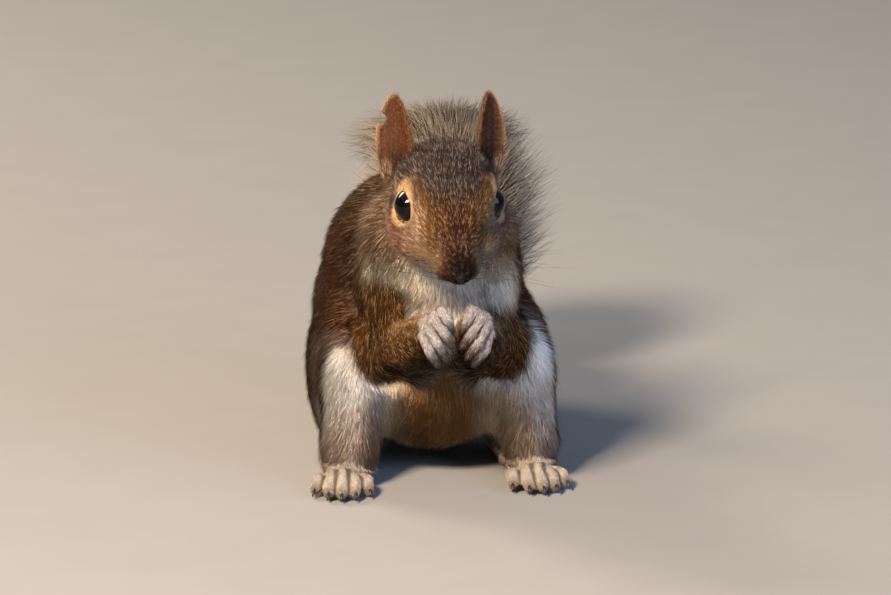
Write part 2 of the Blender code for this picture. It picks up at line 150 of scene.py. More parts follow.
class SquirrelCoatSettings(bpy.types.PropertyGroup):
    thickness: bpy.props.FloatProperty(
        name="Density", description="Share of the full number of tufts", default=1.0, min=0.05
    )
    seed: bpy.props.IntProperty(name="Seed", description="Scatter of the coat", default=7)
    whisker: measure("Whisker", "Length of the longest whiskers", 46.0, 1.0)


class SquirrelColours(bpy.types.PropertyGroup):
    back: colour("Back", "Back and outer limbs", "4D331B")
    crown: colour("Crown", "Top of the head", "524440")
    rust: colour("Rust", "Border of the white belly", "4C2206")
    arm: colour("Arm", "Upper arm and forearm", "5A3B1B")
    ochre: colour("Ochre", "Between the eyes and the nose", "6A4414")
    cheek: colour("Cheek", "Side of the face and neck", "8C725A")
    lip: colour("Lip", "Lower cheek and upper lip", "93775A")
    cream: colour("Cream", "Throat and belly", "F6E9D4")
    white: colour("White", "Front of the thighs", "FFFAF2")
    tan: colour("Tan", "Middle of the belly", "80561F")
    ring: colour("Eye ring", "Short hair round the eye", "CBA67A")
    bridge: colour("Bridge", "Bridge of the nose", "42210A")
    blush: colour("Blush", "Cheek under the eye", "9C7058")
    # Painted shade in creases, grooves, hollows and under the arms, and also real dark hair and
    # skin
    nose: colour("Nose", "Tip of the muzzle", "1A0B05")
    shade: colour("Shade", "Dark hair in the folds", "3A2415")
    hand: colour("Hand", "Hands", "D0C4BE")
    foot: colour("Foot", "Hind feet", "857261")
    concha: colour("Ear", "Inside of the ear", "68402A")
    ear_edge: colour("Ear edge", "Front strip of the ear", "5E3317")
    tail_root: colour("Tail root", "Foot of the tail's hair", "74583A")
    tail_band: colour("Tail band", "Dark band of the tail's hair", "201813")
    tail_tip: colour("Tail tip", "Pale end of the tail's hair", "908471")
    claw: colour("Claw", "Claws", "2A1D15")
    floor: colour("Floor", "Floor of the stage", "918E89")


# ------------------------------------------------------------------ helpers


def only(obj):
    """Selects this object alone and makes it active."""
    bpy.ops.object.select_all(action="DESELECT")
    obj.select_set(True)
    bpy.context.view_layer.objects.active = obj
    return obj


def applied(obj, kind, **settings):
    """Adds a modifier and applies it at once."""
    only(obj)
    modifier = obj.modifiers.new(kind.lower(), kind)
    for name, value in settings.items():
        setattr(modifier, name, value)
    bpy.ops.object.modifier_apply(modifier=modifier.name)
    return obj


def joined(objects, name):
    bpy.ops.object.select_all(action="DESELECT")
    for obj in objects:
        obj.select_set(True)
    bpy.context.view_layer.objects.active = objects[0]
    bpy.ops.object.join()
    objects[0].name = objects[0].data.name = name
    return objects[0]


def settled(obj):
    """Writes the object's place into its mesh."""
    only(obj)
    bpy.ops.object.transform_apply(location=True, rotation=True, scale=True)
    return obj


def read(rows, field, wide=3, kind=float):
    """A field of every row of a collection."""
    out = np.empty(len(rows) * wide, kind)
    rows.foreach_get(field, out)
    return out if wide == 1 else out.reshape(-1, wide)


def points(mesh):
    return read(mesh.vertices, "co")


def normals(mesh):
    return read(mesh.vertex_normals, "vector")


def place_points(mesh, co):
    mesh.vertices.foreach_set("co", np.ascontiguousarray(co, np.float32).ravel())
    mesh.update()


def edges_of(mesh):
    return read(mesh.edges, "vertices", 2, np.int64)


def unit(v):
    return v / np.maximum(np.linalg.norm(v, axis=-1, keepdims=True), 1e-9)


def relaxed(values, edges, times, share=0.5):
    """Each value moved a share of the way to the mean of its neighbours."""
    count = len(values)
    a, b = edges[:, 0], edges[:, 1]
    degree = np.maximum(np.bincount(a, minlength=count) + np.bincount(b, minlength=count), 1)
    for _ in range(times):
        mean = np.empty_like(values)
        for k in range(values.shape[1]):
            column = values[:, k]
            total = np.bincount(a, column[b], count) + np.bincount(b, column[a], count)
            mean[:, k] = total / degree
        values = values + (mean - values) * share
    return values


ATTRIBUTE_FIELDS = {
    "FLOAT": (1, "value"), "FLOAT_VECTOR": (3, "vector"), "FLOAT_COLOR": (4, "color")
}


def attribute(mesh, name, values, kind="FLOAT"):
    made = mesh.attributes.new(name, kind, "POINT")
    if kind == "FLOAT_COLOR":
        values = np.column_stack([values, np.ones(len(values))])
    field = ATTRIBUTE_FIELDS[kind][1]
    made.data.foreach_set(field, np.ascontiguousarray(values, np.float32).ravel())


def read_attribute(mesh, name, kind="FLOAT"):
    wide, field = ATTRIBUTE_FIELDS[kind]
    values = read(mesh.attributes[name].data, field, wide)
    return values if wide == 1 else values[:, :3]


# Settings of the nodes that mix two colours, multiply them, and multiply two numbers
BLEND = {"data_type": "RGBA"}
TIMES = {"data_type": "RGBA", "blend_type": "MULTIPLY"}
PRODUCT = {"operation": "MULTIPLY", "use_clamp": False}
CLAMPED = {"operation": "MULTIPLY", "use_clamp": True}


def add_node(tree, kind, settings=None, **inputs):
    """A shader node with its settings and links; an input is a value or a socket.

    A ramp's stops are (position, grey or colour) and come among the settings.
    """
    node = tree.nodes.new("ShaderNode" + kind)
    settings = dict(settings or {})
    for k, (position, value) in enumerate(settings.pop("stops", ())):
        elements = node.color_ramp.elements
        element = elements[k] if k < len(elements) else elements.new(1.0)
        element.position = position
        element.color = (*(value if isinstance(value, tuple) else (value,) * 3), 1.0)
    for name, value in settings.items():
        setattr(node, name, value)
    for name, value in inputs.items():
        key = int(name[1:]) if name[0] == "_" else name.replace("_", " ")
        if isinstance(value, bpy.types.NodeSocket):
            tree.links.new(value, node.inputs[key])
        else:
            node.inputs[key].default_value = value
    return node


def new_material(name, roughness=0.5, specular=0.5):
    material = bpy.data.materials.new(name)
    material.use_nodes = True
    shader = material.node_tree.nodes["Principled BSDF"]
    shader.inputs["Roughness"].default_value = roughness
    shader.inputs["Specular IOR Level"].default_value = specular
    return material, material.node_tree, shader


def link(tree, output, node, key):
    tree.links.new(output, node.inputs[key])


def read_marks(tree, *names):
    """A node for each attribute that a piece carries."""
    return [add_node(tree, "Attribute", {"attribute_name": name}) for name in names]


def speckled(name, roughness, scale, stops):
    """A material whose colour wanders between the stops at that noise scale."""
    material, tree, shader = new_material(name, roughness)
    place = add_node(tree, "TexCoord")
    grain = add_node(tree, "TexNoise", Vector=place.outputs["Object"], Scale=scale)
    tone = add_node(tree, "ValToRGB", {"stops": stops}, Fac=grain.outputs["Fac"])
    link(tree, tone.outputs["Color"], shader, "Base Color")
    return material


# ------------------------------------------------------------------ anatomy


def head_frame():
    """Axes of the skull in millimetres: X to its left, Y to the nose, Z to the crown."""
    pitch = math.radians(HEAD_PITCH)
    forward = Vector((0, -math.cos(pitch), -math.sin(pitch)))
    crown = Vector((0, -math.sin(pitch), math.cos(pitch)))
    axes = Matrix((Vector((1, 0, 0)), forward, crown)).transposed()
    low_l, high_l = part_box("eye_l")
    low_r, high_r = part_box("eye_r")
    middle = (low_l + high_l + low_r + high_r) / 4
    middle -= axes @ Vector((0, EYE_IN_HEAD[1], EYE_IN_HEAD[2])) * MM
    place = axes.to_4x4()
    place.translation = middle / MM
    return place


def in_head(co):
    """Points in metres, as millimetres in the skull's axes."""
    place = np.array(head_frame().inverted())
    return (co / MM) @ place[:3, :3].T + place[:3, 3]


def from_head(spot):
    """A spot in the skull's axes, in metres in the frame."""
    return head_frame() @ Vector(spot) * MM


def eye_centre(side):
    low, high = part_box("eye_l" if side > 0 else "eye_r")
    return (low + high) / 2


def eye_axis(side):
    turn = head_frame().to_3x3()
    return (turn @ Vector((side * EYE_AXIS[0], EYE_AXIS[1], EYE_AXIS[2]))).normalized()


def in_ear(co, side):
    """Points in the axes of one ear: outwards and forwards in millimetres, up as a share of
    its height, its half width at that height, and the way that its hollow opens."""
    place = ear_frame(side)
    back = np.array(place.inverted())
    spot = (co / MM) @ back[:3, :3].T + back[:3, 3]
    up = np.clip(spot[:, 2] / EAR_HEIGHT, 0, 0.985)
    half = EAR_HALF_WIDTH * (1 - up**3.6) ** 0.55 * (0.80 + 0.36 * np.sin(math.pi * up) ** 0.8)
    return spot[:, 0] * side, -spot[:, 1], up, half, np.array(place)[:3, :3] @ (0, -1.0, 0)


def ear_frame(side):
    """Axes of one ear: X across it, -Y out of its hollow, Z up it, in millimetres."""
    x, y, z = EAR_ROOT
    place = Matrix.Translation((side * x, y, z))
    leans, tips, opens = EAR_TURN
    for angle, axis in ((side * leans, "Y"), (tips, "X"), (side * opens, "Z")):
        place = place @ Matrix.Rotation(math.radians(angle), 4, axis)
    return place


def toe_line(side, toe):
    """Root and tip of a toe, in metres, as the foot was laid out."""
    splay = math.radians(4.0 if side > 0 else 9.0)
    ahead = Vector((side * math.sin(splay), -math.cos(splay), 0))
    across = Vector((-ahead.y, ahead.x, 0)) * side
    ball = Vector((side * 28, -24, 7)) + ahead * 56
    spread = toe - 2
    root = ball + across * spread * 3.9 - ahead * 1.5
    tip = root + ahead * (14.5 - 1.6 * spread**2) + across * spread * 0.9
    root.z, tip.z = 4.2, 2.7
    return root * MM, tip * MM


def palm(side):
    """Wrist and knuckles, in metres."""
    return Vector((side * 7.8, -100, 65)) * MM, Vector((side * 8.9, -105.3, 67.4)) * MM


def finger_line(side, finger):
    """Root, middle and tip of a finger, in metres."""
    return tuple(Vector((side * x, y, z)) * MM for x, y, z in FINGERS[finger])


def beside_digits(co, lines):
    """How far each point lies from the groove between its two nearest digits, in
    millimetres, how far along its digit it is and which way that digit points."""
    gaps, shares, ways = [], [], []
    for line in lines:
        line = [np.array(p) / MM for p in line]
        best, share, way = np.full(len(co), np.inf), np.zeros(len(co)), np.zeros((len(co), 3))
        for k, (a, b) in enumerate(zip(line, line[1:])):
            t = np.clip((co / MM - a) @ (b - a) / ((b - a) @ (b - a)), 0, 1)
            gap = np.linalg.norm(co / MM - a - t[:, None] * (b - a), axis=1)
            closer = gap < best
            best = np.where(closer, gap, best)
            share = np.where(closer, (k + t) / (len(line) - 1), share)
            way[closer] = unit(b - a)
        gaps.append(best)
        shares.append(share)
        ways.append(way)
    order = np.argsort(gaps, axis=0)
    rows = np.arange(len(co))
    gaps = np.array(gaps)
    own = order[0]
    apart = gaps[order[1], rows] - gaps[own, rows]
    return apart, np.array(shares)[own, rows], np.array(ways)[own, rows]


def tail_path(count=120):
    """Even points along the tail's middle line, in metres, with their tangents."""
    stops = [np.array(s, float) for s in TAIL_STOPS]
    ends = [2 * stops[0] - stops[1], *stops, 2 * stops[-1] - stops[-2]]
    fine = []
    for a, b, c, d in zip(ends, ends[1:], ends[2:], ends[3:]):
        for t in np.arange(24) / 24:
            square, cube = 2 * a - 5 * b + 4 * c - d, 3 * b - 3 * c + d - a
            fine.append(0.5 * (2 * b + (c - a) * t + square * t**2 + cube * t**3))
    fine = np.array([*fine, stops[-1]]) * MM
    run = np.concatenate([[0], np.cumsum(np.linalg.norm(np.diff(fine, axis=0), axis=1))])
    goal = np.linspace(0, run[-1], count)
    path = np.column_stack([np.interp(goal, run, fine[:, k]) for k in range(3)])
    return path, unit(np.gradient(path, axis=0))


def plume(along):
    """Half width and half depth of the tail's hair at a share of its length."""
    rise = np.minimum(1.0, 0.40 + 1.5 * along)
    rise = rise - 0.2 * np.exp(-(((along - 0.7) / 0.08) ** 2))
    close = np.sqrt(np.clip(1 - np.clip((along - 0.72) / 0.28, 0, None) ** 2, 0, 1))
    wide = TAIL_HALF_WIDTH * rise * close
    deep = (TAIL_HALF_DEPTH - 5.0 * along) * close
    return np.maximum(wide, 1.0) * MM, np.maximum(deep, 1.0) * MM


def node_names(part):
    return [
        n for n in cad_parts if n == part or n.rsplit("_", 1)[0] == part and n[-2] == "_"
    ]


# ------------------------------------------------------------------ skin


def swollen_copy(name, part):
    """A merged copy of a node, pushed out until it meets its neighbours."""
    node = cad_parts[name]
    copy = node.copy()
    copy.data = node.data.copy()
    copy.parent = None
    for key in list(copy.keys()):
        del copy[key]
    bpy.context.scene.collection.objects.link(copy)
    only(copy)
    bpy.ops.object.mode_set(mode="EDIT")
    bpy.ops.mesh.select_all(action="SELECT")
    bpy.ops.mesh.remove_doubles(threshold=0.01 * MM)
    bpy.ops.mesh.normals_make_consistent(inside=False)
    bpy.ops.object.mode_set(mode="OBJECT")
    swell = BODY[part][1]
    if swell:
        applied(copy, "DISPLACE", strength=swell * MM, mid_level=0.0)
    return copy


def tail_core(radius):
    """Balls along the tail's middle line, which fuse into its slim core."""
    path, _ = tail_path(CORE_BALLS)
    balls = []
    for k in range(CORE_BALLS - 4):
        share = k / (CORE_BALLS - 1)
        bpy.ops.mesh.primitive_ico_sphere_add(
            subdivisions=2, radius=radius * (1.25 - 0.85 * share), location=path[k]
        )
        balls.append(settled(bpy.context.object))
    return balls


def region_finder():
    """A tree over all the nodes of flesh, with the part that owns each face."""
    corners, faces, owner = [], [], []
    for index, part in enumerate(FLESH[:-1]):
        for name in node_names(part):
            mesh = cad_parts[name].data
            first = len(corners)
            corners.extend(v.co for v in mesh.vertices)
            for polygon in mesh.polygons:
                faces.append([first + v for v in polygon.vertices])
                owner.append(index)
    return BVHTree.FromPolygons(corners, faces), np.array(owner)


def regions_of(co, finder, cell=0.8 * MM):
    """Index of the part of the body nearest to each point, found once for each small cell."""
    tree, owner = finder
    across = 8192  # cells each way, about the origin
    grid = np.floor(co / cell).astype(np.int64) + across // 2
    key = (grid[:, 0] * across + grid[:, 1]) * across + grid[:, 2]
    _, first, back = np.unique(key, return_index=True, return_inverse=True)
    middles = (grid[first] - across // 2 + 0.5) * cell
    found = owner[[tree.find_nearest(p)[2] for p in middles]]
    path, _ = tail_path()
    distance = np.min([np.linalg.norm(middles - p, axis=1) for p in path[8:]], axis=0)
    found[distance < 8.5 * MM] = FLESH.index("tail")
    return found[back]


def stiffness(regions):
    return np.isin(
        regions, [FLESH.index(p) for p in ("hand", "foot", "ear", "eye")]
    ).astype(float)


def inset(obj, regions, edges):
    """Sinks the skin under the coat in small steps, with a furrow behind shoulder and arm."""
    mesh = obj.data
    depth = np.array([BODY[p][0] + BODY[p][1] for p in FLESH])[regions] * MM
    block = [FLESH.index(p) for p in ("head", "neck", "upper_arm", "forearm")]
    block = np.isin(regions, block).astype(float)
    broad = np.isin(regions, [FLESH.index(p) for p in ("thigh", "neck")])
    co = points(mesh)
    nape = (co[:, 2] > 84 * MM) & (np.abs(co[:, 1] + 43 * MM) < 23 * MM)
    broad |= nape & (regions != FLESH.index("ear"))
    plan = relaxed(np.column_stack([depth, stiffness(regions), block, broad]), edges, 14)
    soft = (1 - step(0.2, 0.8, plan[:, 1]))[:, None]
    furrow = 4 * plan[:, 2] * (1 - plan[:, 2]) * step(10, 18, np.abs(co[:, 0]) / MM)
    plan[:, 0] += 1.3 * MM * furrow * step(110, 100, co[:, 2] / MM)
    plan[:, 0] += 3.5 * MM * step(30, 38, co[:, 1] / MM) * step(38, 30, co[:, 2] / MM)
    co = relaxed(co, edges, 3)
    co = co + (relaxed(co, edges, 18) - co) * soft
    co = co + (relaxed(co, edges, 150) - co) * plan[:, 3:] * soft
    place_points(mesh, co)
    for _ in range(4):
        co = co - normals(mesh) * (plan[:, :1] / 4)
        co = co + (relaxed(co, edges, 4) - co) * soft
        place_points(mesh, co)


def cut(obj, kind, place, scale, **settings):
    """Takes a primitive, of that scale in millimetres in that place, out of the object."""
    getattr(bpy.ops.mesh, f"primitive_{kind}_add")(radius=1, **settings)
    cutter = bpy.context.object
    cutter.matrix_world = place @ Matrix.Diagonal((*(v * MM for v in scale), 1.0))
    applied(obj, "BOOLEAN", operation="DIFFERENCE", solver="MANIFOLD", object=settled(cutter))
    bpy.data.objects.remove(cutter, do_unlink=True)


def axis_frame(at, axis, up):
    """A frame whose Z is the axis and whose Y leans to up."""
    z = axis.normalized()
    x = up.cross(z).normalized()
    place = Matrix((x, z.cross(x), z)).transposed().to_4x4()
    place.translation = at
    return place


class OBJECT_OT_squirrel_skin(bpy.types.Operator):
    """One skin over the whole animal, with lids, nostrils and mouth"""

    bl_idname = "object.squirrel_skin"
    bl_label = "Skin"

    def execute(self, context):
        settings = context.scene.squirrel_skin
        finder = region_finder()
        parts = [swollen_copy(n, p) for p in FLESH[:-1] if p != "hand" for n in node_names(p)]
        skin = joined([*parts, *tail_core(settings.core), *self.shins()], "skin")
        applied(skin, "REMESH", mode="VOXEL", voxel_size=settings.voxel)
        inset(skin, regions_of(points(skin.data), finder), edges_of(skin.data))
        # Thinned twice: hands and face are cut into a skin that is still a little finer
        self.thin(skin, 1.6 * settings.triangles)
        for _, side in SIDES:
            self.add_hand(skin, side, settings.voxel * 0.7)
        self.open_face(skin, settings)
        self.thin(skin, settings.triangles, finder)
        skin.data.materials.clear()
        dress_skin(skin, regions_of(points(skin.data), finder), context.scene.squirrel_colours)
        skin.data.shade_smooth()
        only(skin)
        bpy.ops.object.mode_set(mode="EDIT")
        bpy.ops.mesh.select_all(action="SELECT")
        bpy.ops.uv.smart_project(angle_limit=math.radians(66), island_margin=0.002)
        bpy.ops.object.mode_set(mode="OBJECT")
        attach(skin, "root")
        nodes = [n for p in FLESH[:-2] for n in node_names(p)]
        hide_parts(*nodes)
        return {"FINISHED"}

    def shins(self):
        """Soft masses that carry the haunch down to the foot without a crease."""
        balls = []
        for _, side in SIDES:
            bpy.ops.mesh.primitive_uv_sphere_add(
                segments=48, ring_count=24, location=Vector((side * 31, -61.5, 26)) * MM
            )
            balls.append(bpy.context.object)
            balls[-1].scale = Vector((12.2, 16.6, 19.0)) * MM
            settled(balls[-1])
        return balls

    def add_hand(self, skin, side, grain):
        """Palm and four slim fingers, fused fine and joined on to the end of the arm."""
        wrist, knuckles = palm(side)
        stops = [(wrist, 3.6), ((wrist + knuckles) / 2, 4.2), (knuckles, 3.2)]
        for finger in range(4):
            root, middle, tip = finger_line(side, finger)
            back = knuckles + (root - knuckles) * 0.5
            stops += [(wrist + (back - wrist) * 0.5, 3.0), (back, 2.5), (root, 1.75)]
            for a, b, wide, thin in ((root, middle, 1.7, 1.5), (middle, tip, 1.5, 1.1)):
                for t in np.arange(0, 1, 0.1):
                    stops.append((a + (b - a) * t, wide + (thin - wide) * t))
            stops.append((tip, 1.1))
        balls = []
        for at, radius in stops:
            bpy.ops.mesh.primitive_ico_sphere_add(subdivisions=3, radius=radius * MM, location=at)
            balls.append(settled(bpy.context.object))
        hand = joined(balls, "hand")
        applied(hand, "REMESH", mode="VOXEL", voxel_size=grain)
        applied(hand, "SMOOTH", factor=0.5, iterations=2)
        applied(skin, "BOOLEAN", operation="UNION", solver="MANIFOLD", object=hand)
        bpy.data.objects.remove(hand, do_unlink=True)

    def open_face(self, skin, settings):
        """Openings between the lids, nostrils, the bite in one ear and the slit of the mouth."""
        turn = head_frame().to_3x3()
        up = turn @ Vector((0, 0, 1))
        long, tall = (v / MM for v in settings.opening)
        for _, side in SIDES:
            centre, axis = eye_centre(side), eye_axis(side)
            place = axis_frame(centre + axis * 7 * MM, axis, up)
            cut(skin, "cylinder", place, (long, tall, 6), vertices=64, depth=2)
        for _, side in SIDES:
            into = turn @ Vector((side * 0.75, 0.6, -0.25))
            place = axis_frame(from_head((side * 2.5, 35.6, -7.2)), into, up)
            cut(skin, "uv_sphere", place, (0.75, 1.1, 2.2), segments=20, ring_count=12)
        bite = Matrix.Translation(ear_frame(-1) @ Vector((-6.4, -2.2, 22.0)) * MM)
        cut(skin, "uv_sphere", bite, (2.9, 2.9, 2.9), segments=32, ring_count=20)
        mouth = axis_frame(from_head((0, 25.0, -13.4)), turn @ Vector((0, 0.97, -0.24)), up)
        cut(skin, "uv_sphere", mouth, (7.0, 0.5, 7.5), segments=40, ring_count=24)

    def thin(self, skin, triangles, finder=None):
        """Fewer triangles by flatness, or with a finder only where the long hair lies."""
        ratio = min(1.0, triangles / sum(len(p.vertices) - 2 for p in skin.data.polygons))
        if not finder:
            applied(skin, "DECIMATE", ratio=ratio)
            return
        fine = [FLESH.index(p) for p in ("head", "hand", "foot", "ear", "eye")]
        long_hair = ~np.isin(regions_of(points(skin.data), finder), fine)
        group = skin.vertex_groups.new(name="thin")
        group.add(np.nonzero(long_hair)[0].tolist(), 1.0, "REPLACE")
        applied(skin, "DECIMATE", ratio=ratio, vertex_group="thin")
        skin.vertex_groups.clear()


# ------------------------------------------------------------------ coat plan


def wander(at, scale, phase):
    """A smooth wandering value in -1..1 through space, for locks that lean together."""
    p = at / MM / scale
    return (
        np.sin(p[:, 0] * 1.7 + 1.3 * np.sin(p[:, 1] * 1.1 + phase))
        + np.sin(p[:, 1] * 1.9 + 1.1 * np.sin(p[:, 2] * 1.3 + phase * 2))
        + np.sin(p[:, 2] * 1.6 + 1.2 * np.sin(p[:, 0] * 1.2 + phase * 3))
    ) / 3


def toward(direction, n):
    """A direction laid into the surface with normal n."""
    return unit(direction - n * (direction * n).sum(1, keepdims=True))


def lie_of_coat(co, n, weights, edges):
    """The way the hair points at each point of the skin, turning away from the eyes."""
    count = len(co)
    side = np.sign(co[:, 0] + 1e-9)

    def same(x, y, z):
        return np.column_stack([x * side, np.full(count, y), np.full(count, z)])

    nose = np.array(from_head((0, 38, -7)))
    path, tangents = tail_path()
    nearest = np.argmin([np.linalg.norm(co - p, axis=1) for p in path], axis=0)
    flows = {
        "head": unit(co - nose), "eye": unit(co - nose), "neck": same(0.0, 0.62, -0.78),
        "trunk": same(0.0, 0.70, -0.72), "upper_arm": same(0.0, -0.25, -0.97),
        "forearm": same(-0.25, -0.85, -0.25), "hand": same(-0.36, -0.10, -0.90),
        "thigh": same(0.12, 0.15, -1.0), "foot": same(0.08, -1.0, -0.1),
        "ear": same(0.15, 0.1, 1.0), "tail": tangents[nearest],
    }
    for _, s in SIDES:
        own = co[:, 0] * s > 0
        hand = own & (weights[:, FLESH.index("hand")] > 0.02)
        foot = own & (weights[:, FLESH.index("foot")] > 0.02)
        flows["hand"][hand] = beside_digits(co[hand], [finger_line(s, f) for f in range(4)])[2]
        ahead = beside_digits(co[foot], [toe_line(s, t) for t in range(5)])[2]
        flows["foot"][foot] = unit(ahead + (0, 0, -0.25))
    total = sum(weights[:, k : k + 1] * toward(flows[p], n) for k, p in enumerate(FLESH))
    for _, s in SIDES:
        off = co - np.array(eye_centre(s))
        near = 1 - step(6.0 * MM, 11.0 * MM, np.linalg.norm(off, axis=1))
        outwards = toward(off, n)
        into = np.clip(-(total * outwards).sum(1), 0, None) * near
        total = total + outwards * (into + 0.25 * near)[:, None]
    return toward(relaxed(total, edges, 6), n)


def markings(co, n, part, near, colours):
    """Colour of the coat, how strongly it is ticked and how bare it is, from anatomy."""
    x, y, z = np.abs(co[:, 0]) / MM, co[:, 1] / MM, co[:, 2] / MM
    out = n[:, 0] * np.sign(co[:, 0])
    front = -n[:, 1]
    h = in_head(co)
    hx, hy, hz = np.abs(h[:, 0]), h[:, 1], h[:, 2]
    turn = np.array(head_frame().to_3x3())
    lifted = n @ turn[:, 2]
    ragged = 0.5 * wander(co, 3.0, 0.7) + 0.3 * wander(co, 1.2, 2.1)

    paint = np.tile(np.array(colours.back), (len(co), 1))
    tick = np.full(len(co), 0.75)

    def lay(name, mask, ticking=None):
        nonlocal paint, tick
        mask = np.clip(mask, 0, 1)
        paint = paint + (np.array(getattr(colours, name)) - paint) * mask[:, None]
        if ticking is not None:
            tick = tick + (ticking - tick) * mask

    # Trunk and neck: dark rusty flank, pale throat, chest and belly with a tan middle
    trunk, neck, thigh = part["trunk"], part["neck"], part["thigh"]
    facing = front - 0.12 * np.clip(out, 0, 1) + 0.14 * ragged
    lay("rust", trunk * step(-0.55, 0.1, facing) * step(98, 70, z) * step(12, 24, x) * 0.9, 0.35)
    # Painted shade along the crease where the trunk meets the neck and arms
    block = near["neck"] + near["upper_arm"] + near["forearm"]
    lay("shade", trunk * step(0.02, 0.30, block) * step(14, 22, x) * 0.75, 0.5)
    lay("cheek", neck * step(-0.7, 0.0, facing), 0.9)
    pale = step(0.22, 0.5, facing) * step(30, 23, x)
    under = step(0.25, 0.6, -n[:, 2]) * step(40, 20, z) * step(22, 8, y)
    throat = neck * step(-0.05, 0.3, facing) * step(93, 85, z + 0.25 * x + 4 * ragged)
    lay("cream", np.maximum(throat, trunk * np.maximum(pale, under)), 0.3)
    lay("cheek", throat * step(12, 24, x + 3 * ragged) * 0.35, 0.8)
    ledge = np.where(co[:, 0] > 0, 66, 71.5 + 0.2 * x) + 2.5 * ragged
    above = (trunk + neck) * np.maximum(pale, throat) * step(ledge + 3, ledge - 3, z)
    lay("arm", above * step(50, 56, z) * step(7, 13, x + 2 * ragged), 0.8)
    # Painted shadow in a band on the flank behind the shoulder, where the arm shades it
    lay(
        "shade", trunk * step(9, 2, np.abs(y + 41)) * step(46, 56, z) * step(100, 88, z) * 0.6,
        0.6,
    )
    low = trunk * pale * step(56, 46, z)
    streak = wander(co * (1.0, 1.0, 0.22), 1.9, 0.9)
    lay("tan", low * step(24, 8, x + 3 * ragged) * 0.95, 0.3)
    # Dark streaks in the belly's fur, and painted shade that deepens low in its middle
    lay("shade", low * step(0.0, 0.8, streak) * step(50, 30, z) * step(20, 8, x) * 0.6, 0.3)
    # Thighs: white in front, with a rusty edge, grizzled grey brown outside; the white goes
    # further round the outside of the right thigh than of the left
    beyond = np.where(co[:, 0] > 0, 0.28, 0.06) * np.clip(out, 0, 1)
    white = step(-0.02, 0.20, front - beyond + 0.14 * ragged)
    inner = step(0.1, 0.5, -out) * step(20, -10, y)
    high = np.where(co[:, 0] > 0, 56, 52) + 2 * ragged
    white = np.maximum(np.maximum(white, inner), under) * step(high + 3, high - 3, z)
    edge = np.clip(4 * white * (1 - white), 0, 1) * step(20, 45, z)
    edge = np.maximum(edge, step(50, 58, z) * step(0.1, 0.5, front) * (1 - white))
    lay("white", thigh * white, 0.22)
    gold = thigh * white * step(0.45, -0.25, out + 0.35 * ragged)
    lay("tan", gold * step(46, 20, z) * 0.8, 0.3)
    # Dark streaks in the inner thigh's fur, and painted shade that deepens lower down
    lay("shade", gold * step(0.1, 0.9, streak) * step(34, 14, z) * 0.35, 0.3)
    lay("rust", thigh * edge * 0.8, 0.5)
    fleck = step(38, 16, z) * step(-0.1, 0.4, out + 0.3 * ragged) * white
    lay("cheek", thigh * fleck * 0.75, 0.9)
    lay("cheek", thigh * white * step(0.15, 0.8, wander(co, 4.0, 1.1)) * 0.3, 0.8)
    # Arms: tawny, with a painted highlight along the top and painted shade under the elbow
    arm = part["upper_arm"] + part["forearm"]
    lay("arm", arm, 1.0)
    lay("ochre", arm * step(-0.2, 0.5, n[:, 2]) * 0.5, 0.9)
    lay("ring", part["forearm"] * step(0.1, 0.8, n[:, 2]) * 0.3, 0.7)
    lay("shade", arm * step(0.2, 0.8, -n[:, 2]) * 0.7, 0.5)
    bib = step(ledge - 3, ledge + 3, z) * step(29, 24, x) * step(-0.1, 0.3, facing)
    lay("cream", part["upper_arm"] * bib, 0.2)

    # Head: grizzled crown narrowing to a dark bridge and nose, golden beside it and
    # under the eye, a pinkish cheek, and pale lips and chin
    head = part["head"] + part["eye"]
    lay("cheek", head, 0.9)
    lay("blush", head * step(-8, 0, hy) * step(20, 12, hy) * step(-2.5, -6, hz) * 0.85, 0.6)
    blaze = np.interp(
        hy, (-6, 2, 10, 18, 26, 32, 36), (17, 11.5, 9.0, 6.6, 5.4, 5.2, 5.2)
    ) + ragged
    beside = step(blaze - 1.0, blaze + 0.8, hx)
    fair = step(13, 20, hy) * step(-0.8, -3.6, hz + 0.12 * hy - 0.2 * ragged) * beside
    gold = step(0, 5, hy) * step(27, 19, hy) * step(blaze + 4.6, blaze + 0.6, hx)
    lay("ochre", head * gold * step(-5.0, -1.8, hz + 0.12 * hy + 0.2 * ragged) * 0.95, 0.6)
    lay("lip", head * fair, 0.3)
    top = step(blaze + 1.0, blaze - 2.0, hx) * step(-0.35, 0.15, lifted + 0.12 * ragged)
    top = np.maximum(top, step(0.05, 0.4, lifted) * step(3, -5, hy))
    lay("crown", head * top, 1.2)
    lay("bridge", head * top * step(6, 17, hy) * 0.9, 0.65)
    sides = step(1.2, 4.5, hx - 0.9 * ragged) * step(8, 17, hy) * step(26, 16, hy)
    lay("ochre", head * top * sides * 0.65, 0.7)
    lay("cream", head * step(-9.5, -12.5, hz) * step(0.0, -0.5, lifted) * step(12, 8, hx), 0.12)
    for _, s in SIDES:
        off = (co - np.array(eye_centre(s))) / MM
        far = np.linalg.norm(off, axis=1)
        brow = turn @ (s * -0.45, 0.3, 0.84)
        under = turn @ (s * -0.2, 0.2, -0.96)
        wide = 1.3 * np.clip(unit(off) @ brow, 0, 1) + 0.7 * np.clip(unit(off) @ under, 0, 1)
        edge = step(8.4 + wide, 9.0 + wide, far) * step(10.8 + wide, 9.6 + wide, far)
        lay("shade", head * edge * (0.25 + 0.35 * np.clip(unit(off) @ under, 0, 1)), 0.4)
        lay("ring", head * step(8.9 + wide, 7.9 + wide, far), 0.1)
    sides = step(2.2, 4.2, hx) * step(7.5, 6.0, hx) * step(-12, -10, hz)
    lay("rust", head * step(24, 29, hy) * sides * 0.8, 0.3)
    lay("nose", head * step(23.0, 29.5, hy - 0.8 * hx) * step(-12.5, -11.0, hz), 0.25)
